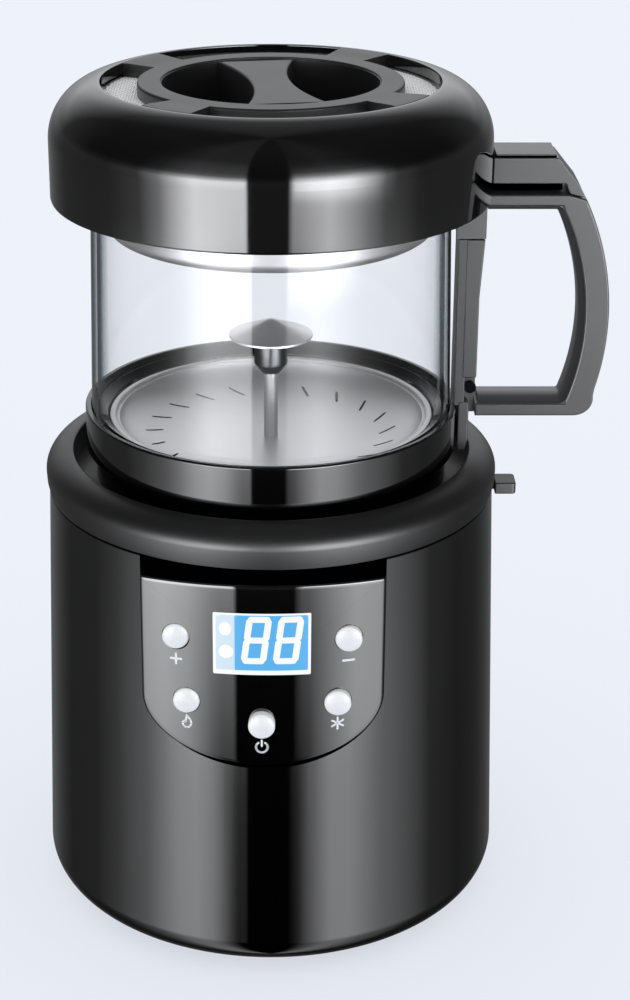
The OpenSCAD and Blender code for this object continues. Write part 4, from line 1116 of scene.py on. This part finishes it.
class ROASTER_OT_tab(Step):
    """Build the lid's tab over the handle: its main block, top plate, neck, joint and lower rib; the neck,
    joint and rib are darker than the tab as painted shade.
    """

    bl_idname = "roaster.tab"
    bl_label = "Lid tab"

    def execute(self, context):
        grey = "gloss_grey_black_plastic"
        half, tall, z1 = (TAB_HIGH[1] - TAB_LOW[1]) / 2, 10.8, TAB_HIGH[2]
        z0, z_main, z_plate = z1 - tall, z1 - 1.4, z1 - 0.6
        root, neck_x, tip, tip_z, reach, nose = 79.3, 77.5, 107.0, z0 - 3.7, 110.2, 112.6

        def end(z):
            """The sloping end of the tab at a height."""
            return reach - (z - z0) * 8.8 / tall

        # the neck wears the darker matt rubber finish: painted shade in the waist between the tab and the lid
        neck = rectangle(neck_x, z0 + 0.3, root + 4, z1 - 0.3)
        piece("tab_neck_shaded", plate(neck, 0.85, half - 2.6, 0.8), "foot_rubber", "lid")
        # a near-black rib fills the gap between the tab and the grip: painted shade
        rib = rectangle(root + 0.5, GRIP_HIGH[2] + 0.35, tip - 2.0, z0 + 0.4)
        piece("tab_gap_shade", plate(rib, 0.25, 5.0, 0.2, 1.6), "shadow_gap", "lid")
        # a near-black sheet in the seam between the main block and the top plate: painted shade in the groove
        joint = rectangle(root + 1.2, z_main - 0.5, end(z_plate) - 0.3, z1 - 0.3)
        piece("tab_seam_shade", plate(joint, 0.1, half - 0.35, 0.1), "shadow_gap", "lid")
        main = [[root, z0], [tip - 1.5, z0], [tip, tip_z], [nose, tip_z - 1.6], [reach, z0],
                [end(z_main), z_main], [root, z_main]]
        cover = [[root + 0.8, z_plate], [end(z_plate), z_plate], [end(z1), z1], [root + 0.8, z1]]
        shape = joined(
            plate(main, [0.45, 0.45, 0.45, 0.45, 0.8, 0.5, 0.45], half, 0.4),
            plate(cover, 0.25, half, 0.2),
        )
        piece("tab", shape, grey, "lid", ["lid_tab"], sharp=12)
        return {"FINISHED"}


class ROASTER_OT_insert(Step):
    """Build the lid insert: a ring land, four bridges, the finger cup and the bar across it."""

    bl_idname = "roaster.insert"
    bl_label = "Lid insert"

    def execute(self, context):
        turn, bridges = math.radians(8.9), 4
        z_ledge, z_crest = MESH_HIGH[2] + MESH_LIFT + 0.2, LID_HIGH[2]
        z_top, z_wells = z_crest - 0.4, INSERT_LOW[2] + 1.6
        cup_r, recess_r, well_r, land_r, vent_r = 41.1, 39.1, 38.7, 47.5, 60.4
        cup = rounded(
            [[0, z_wells - 1.6], [cup_r, z_wells - 1.6], [cup_r, z_ledge], [land_r, z_ledge],
             [land_r, z_top], [recess_r, z_top], [recess_r, z_top - 0.6], [well_r, z_top - 0.6],
             [well_r, z_wells], [0, z_wells]],
            [0, 1.2, 0.2, 0.2, 0.8, 0.5, 0.1, 0.4, 1.5, 0],
        )
        points, faces = turned(cup, self.sizes.segments)
        shapes = [(about_z(points, turn), faces)]

        # each bridge rises smoothly from the land to the crest of the cover
        r = np.linspace(land_r - 1.0, vent_r, 14)
        share = ((r - r[0]) / (r[-1] - r[0])) ** 2
        rise = np.stack([r, z_top - 0.02 + (z_crest - 0.1 - z_top) * share * (3 - 2 * share)], -1)[::-1]
        bridge = np.concatenate([[[r[0], z_ledge], [r[-1], z_ledge]], rise])
        for k in range(bridges):
            middle = 45 + 360 / bridges * k
            points, faces = turned(bridge, 24, middle - 10, middle + 10)
            shapes.append((about_z(points, turn), faces))

        # the bar: two arcs bowed towards each other, ending on the wall of the cup
        waist, ends, reach, bar_end = 14.4 / 2, 28.4 / 2, 36.0, 37.4
        bend = (reach * reach + (ends - waist) ** 2) / (2 * (ends - waist))
        spread = math.degrees(math.asin(bar_end / bend))
        right = arc(waist + bend, 0, bend, bend, 180 + spread, 180 - spread, 24)
        outline = distinct(np.concatenate([right[::-1], right * [-1, 1]]))
        x, y = outline[:, 0], outline[:, 1]
        y = np.sign(y) * np.minimum(np.abs(y), np.sqrt((well_r + 0.2) ** 2 - x**2))
        z_bar = z_top - 0.55
        bar = slab(evenly(np.stack([x, y], -1), 3.0), (z_bar - z_wells) / 2, 0.9)
        shapes.append(lying(bar, (z_bar + z_wells) / 2, turn))
        piece("insert", joined(*shapes), "satin_black_plastic", "lid", ["lid_insert"])
        return {"FINISHED"}


class ROASTER_OT_lid_mesh(Step):
    """Build the perforated sheet under the vents: round holes in a triangular pattern."""

    bl_idname = "roaster.lid_mesh"
    bl_label = "Perforated sheet"

    def execute(self, context):
        pitch, sides, r_in, r_out = self.sizes.mesh_pitch, 12, 42.8, 60.2
        z1 = MESH_HIGH[2] + MESH_LIFT
        z0 = z1 - 0.6
        row = math.sqrt(3) / 2
        span = int(62 / (pitch * row)) + 2
        i, j = np.meshgrid(np.arange(-span, span + 1), np.arange(-span, span + 1))
        centres = np.stack([(pitch * (i + 0.5 * (j % 2))).ravel(), (pitch * row * j).ravel()], -1)
        r = np.linalg.norm(centres, axis=1)
        centres = centres[(r > r_in) & (r < r_out)]
        # a round hole in a six-sided cell, whose sides are half a pitch from its middle
        a = np.linspace(0, 2 * np.pi, sides, endpoint=False) + np.pi / 6
        round_a = np.stack([np.cos(a), np.sin(a)], -1)
        hole = 0.24 * pitch * round_a
        cell = (pitch / 2 / np.cos(a % (np.pi / 3) - np.pi / 6))[:, None] * round_a
        flat = centres[:, None, None] + np.stack([hole, cell, cell, hole])[None]
        heights = np.array([z1, z1, z0, z0])
        z = np.broadcast_to(heights[None, :, None, None], (*flat.shape[:3], 1))
        points = np.concatenate([flat, z], -1).reshape(-1, 3)
        # top, under side and wall of the hole; neighbouring cells close the outer wall
        faces = grid_faces(4, sides, wrap_rows=True)
        faces = faces[np.arange(len(faces)) // sides != 1]
        every = (faces[None] + (np.arange(len(centres)) * 4 * sides)[:, None, None]).reshape(-1, 4)
        shape = points, [every]
        piece("vent_mesh", shape, "perforated_steel", "lid", ["lid_mesh"], sharp=50)
        return {"FINISHED"}


class ROASTER_OT_bowl(Step):
    """Build the chaff bowl that hangs in the top of the glass."""

    bl_idname = "roaster.bowl"
    bl_label = "Chaff bowl"

    def execute(self, context):
        z_floor, z_top, z_rim, sheet, rim_r = BOWL_LOW[2], BOWL_HIGH[2], GLASS_HIGH[2] + 1.5, 0.8, 66.5
        bowl = rounded(
            [[rim_r, z_rim], [rim_r, z_rim + sheet], [61.0, z_rim + sheet], [58.7, z_floor + sheet],
             [15.0, z_floor + sheet], [13.0, z_top], [12.2, z_top], [14.2, z_floor], [59.5, z_floor],
             [61.8, z_rim]],
            [0.2, 0.2, 0.8, 3.2, 0.8, 0.2, 0.2, 1.4, 4.0, 0.6], 8,
        )
        piece("bowl", turned(bowl, self.sizes.segments), "stainless_steel", "lid", ["chaff_bowl"])
        return {"FINISHED"}


class ROASTER_OT_studio(Step):
    """Set the floor, the soft studio light and the camera of the photograph."""

    bl_idname = "roaster.studio"
    bl_label = "Studio"

    def execute(self, context):
        scene = bpy.context.scene
        scene.view_settings.view_transform = "Standard"
        backdrop = tuple(scene.roaster_colours.backdrop)

        half = 6000.0
        corners = np.array(rectangle(-half, -half, half, half))
        points = np.concatenate([corners, np.zeros((4, 1))], -1)
        floor = shape_object("floor", (points, [np.arange(4)[None]]))
        floor.visible_glossy = False
        floor.data.materials.append(studio_paper(backdrop))

        scene.world = bpy.data.worlds.new("studio")
        scene.world.use_nodes = True
        studio_light(scene.world.node_tree, backdrop)

        camera = bpy.data.objects.new("camera", bpy.data.cameras.new("camera"))
        scene.collection.objects.link(camera)
        scene.camera = camera
        camera.location = (0, -0.760, 0.481)
        camera.rotation_euler = (math.radians(90 - CAMERA_DIP), 0, 0)
        # the picture is higher than wide, so the sensor's 36 mm lie along its height
        camera.data.sensor_width = 36
        camera.data.lens = FOCAL_PX * 36 / IMAGE_H
        camera.data.shift_x = (IMAGE_W / 2 - MIDDLE_X_PX) / IMAGE_H
        camera.data.clip_start, camera.data.clip_end = 0.05, 20
        return {"FINISHED"}


def studio_paper(colour):
    """The paper of the floor: matt, and to the camera mostly an even glow in its own colour."""
    material = bpy.data.materials.new("studio_paper")
    material.use_nodes = True
    tree = material.node_tree
    tree.nodes.clear()
    sheet = add(tree, "ShaderNodeBsdfDiffuse", {"Color": colour})
    glow = add(tree, "ShaderNodeEmission", {"Color": colour, "Strength": 1.0})
    seen = add(tree, "ShaderNodeLightPath").outputs["Is Camera Ray"]
    share = add(tree, "ShaderNodeMath", {0: seen, 1: 0.7}, operation="MULTIPLY")
    both = add(tree, "ShaderNodeMixShader", {0: share.outputs[0], 1: sheet.outputs[0], 2: glow.outputs[0]})
    add(tree, "ShaderNodeOutputMaterial", {"Surface": both.outputs[0]})
    return material


def ramp(tree, value, low, high, stops):
    """Brightness along a value: linear between (value, brightness) stops."""
    node = add(tree, "ShaderNodeFloatCurve")
    curve = node.mapping.curves[0]
    top = max(b for _, b in stops)
    places = [((v - low) / (high - low), b / top) for v, b in stops]
    curve.points[0].location, curve.points[-1].location = places[0], places[-1]
    for x, y in places[1:-1]:
        curve.points.new(x, y)
    for point in curve.points:
        point.handle_type = "VECTOR"
    node.mapping.use_clip = False
    node.mapping.update()
    scaled = add(tree, "ShaderNodeMapRange", {"Value": value, "From Min": low, "From Max": high})
    tree.links.new(scaled.outputs[0], node.inputs["Value"])
    return add(tree, "ShaderNodeMath", {0: node.outputs[0], 1: top}, operation="MULTIPLY").outputs[0]


# What reflections see: (degrees, brightness) stops round the object, with 0 at the front and plus to
# the right, and the same for the height above the horizon. A card is its round times its height.
CARDS = {
    # a bright card on the left and a duller one on the right, about as high as the horizon, both with
    # a sharp edge towards the dark strip between them and a soft one away from it
    "upper": (
        [(-180, 0.02), (-130, 0.01), (-90, 0.015), (-70, 0.04), (-58, 0.2), (-39, 1.0), (-12.7, 0.9),
         (-12, 0.01), (9.4, 0.01), (10.2, 0.35), (30, 0.65), (50, 0.2), (60, 0.06), (80, 0.015),
         (130, 0.01), (180, 0.02)],
        [(-90, 0), (-36, 0), (-27, 0.25), (-22, 1.6), (-17.5, 6.6), (-3, 8.2), (1.5, 8.2), (5, 4.5),
         (11, 1.0), (17, 0.5), (40, 0.13), (90, 0.05)],
    ),
    # the lamp on the right, with a sharp lower edge
    "lamp": (
        [(-180, 0), (9.6, 0), (12, 0.7), (20, 1.0), (40, 0.95), (49, 0.55), (59, 0.1), (66, 0),
         (180, 0)],
        [(-90, 0), (-15.3, 0), (-14.8, 5.5), (0, 5.8), (7, 4.2), (14, 1.3), (20, 0.25), (30, 0),
         (90, 0)],
    ),
    # the foot of both cards below the horizon, soft on both sides, which the tapered body mirrors
    "lower": (
        [(-180, 0.07), (-150, 0.07), (-125, 0.03), (-100, 0.05), (-85, 0.13), (-65, 0.37), (-47, 0.93),
         (-37, 1.0), (-29, 0.76), (-20, 0.14), (-16.5, 0), (11, 0), (14, 0.05), (30, 0.9), (40, 0.92),
         (57, 0.48), (88, 0.07), (110, 0.03), (130, 0.03), (160, 0.06), (180, 0.07)],
        [(-90, 0.8), (-45, 1.2), (-31, 2.25), (-25, 2.4), (-21, 2.0), (-16, 0.3), (-8, 0), (90, 0)],
    ),
    # the pale wall behind the object
    "wall": (
        [(-180, 1), (-165, 0.9), (-135, 0.08), (-105, 0), (105, 0), (135, 0.08), (165, 0.9), (180, 1)],
        [(-90, 0), (-24, 0), (-5, 0.15), (5, 0.6), (12, 1.15), (20, 1.05), (42, 0.2), (90, 0.06)],
    ),
}
# the faint light that comes from all round
FAINT = [(-90, 0), (-24, 0), (-18, 0.02), (0, 0.02), (60, 0.06), (90, 0.06)]


def studio_light(tree, backdrop):
    """Even light for matt surfaces, the pale backdrop for the camera, and for reflections two tall
    soft cards left and right of a dark strip, with the pale wall behind."""
    tree.nodes.clear()
    way = add(tree, "ShaderNodeTexCoord").outputs["Generated"]
    part = add(tree, "ShaderNodeSeparateXYZ", {0: way}).outputs
    front = add(tree, "ShaderNodeMath", {0: part["Y"], 1: -1.0}, operation="MULTIPLY").outputs[0]
    heading = add(tree, "ShaderNodeMath", {0: part["X"], 1: front}, operation="ARCTAN2").outputs[0]
    heading = add(tree, "ShaderNodeMath", {0: heading}, operation="DEGREES").outputs[0]
    height = add(tree, "ShaderNodeMath", {0: part["Z"]}, operation="ARCSINE").outputs[0]
    height = add(tree, "ShaderNodeMath", {0: height}, operation="DEGREES").outputs[0]

    total = ramp(tree, height, -90, 90, FAINT)
    for round_stops, high_stops in CARDS.values():
        a, b = ramp(tree, heading, -180, 180, round_stops), ramp(tree, height, -90, 90, high_stops)
        total = add(tree, "ShaderNodeMath", {0: a, 1: b, 2: total}, operation="MULTIPLY_ADD").outputs[0]

    ray = add(tree, "ShaderNodeLightPath").outputs
    even = add(tree, "ShaderNodeBackground", {"Color": rgb("#ffffff"), "Strength": 1.0}).outputs[0]
    shine = add(tree, "ShaderNodeBackground", {"Color": rgb("#fbfcff"), "Strength": total}).outputs[0]
    seen = add(tree, "ShaderNodeBackground", {"Color": backdrop, "Strength": 1.0}).outputs[0]
    straight = {0: ray["Is Camera Ray"], 1: ray["Is Transmission Ray"]}
    through = add(tree, "ShaderNodeMath", straight, operation="MAXIMUM").outputs[0]
    lit_side = add(tree, "ShaderNodeMixShader", {0: ray["Is Glossy Ray"], 1: even, 2: shine}).outputs[0]
    whole = add(tree, "ShaderNodeMixShader", {0: through, 1: lit_side, 2: seen}).outputs[0]
    add(tree, "ShaderNodeOutputWorld", {"Surface": whole})


STEPS = (
    ROASTER_OT_frame_finishes,
    ROASTER_OT_body,
    ROASTER_OT_panel,
    ROASTER_OT_keys,
    ROASTER_OT_signs,
    ROASTER_OT_display,
    ROASTER_OT_shoulder,
    ROASTER_OT_release,
    ROASTER_OT_chamber,
    ROASTER_OT_pan,
    ROASTER_OT_handle,
    ROASTER_OT_lid,
    ROASTER_OT_tab,
    ROASTER_OT_insert,
    ROASTER_OT_lid_mesh,
    ROASTER_OT_bowl,
    ROASTER_OT_studio,
)


class ROASTER_PT_panel(bpy.types.Panel):
    """Lists the steps that build the roaster."""

    bl_label = "Roaster"
    bl_space_type = "VIEW_3D"
    bl_region_type = "UI"
    bl_category = "Roaster"

    def draw(self, context):
        layout = self.layout
        for group in (context.scene.roaster_sizes, context.scene.roaster_colours):
            for name in group.bl_rna.properties.keys():
                if name not in ("rna_type", "name"):
                    layout.prop(group, name)
        for step in STEPS:
            layout.operator(step.bl_idname)


CLASSES = (RoasterSizes, RoasterColours, *STEPS, ROASTER_PT_panel)


def register():
    """Adds the settings, the operators and the panel to Blender."""
    for cls in CLASSES:
        bpy.utils.register_class(cls)
    bpy.types.Scene.roaster_sizes = PointerProperty(type=RoasterSizes)
    bpy.types.Scene.roaster_colours = PointerProperty(type=RoasterColours)


def unregister():
    """Takes them out again."""
    del bpy.types.Scene.roaster_colours, bpy.types.Scene.roaster_sizes
    for cls in reversed(CLASSES):
        bpy.utils.unregister_class(cls)


def main():
    """Builds the whole roaster."""
    register()
    for step in STEPS:
        group, name = step.bl_idname.split(".")
        getattr(getattr(bpy.ops, group), name)()
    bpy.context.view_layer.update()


if __name__ == "__main__":
    main()
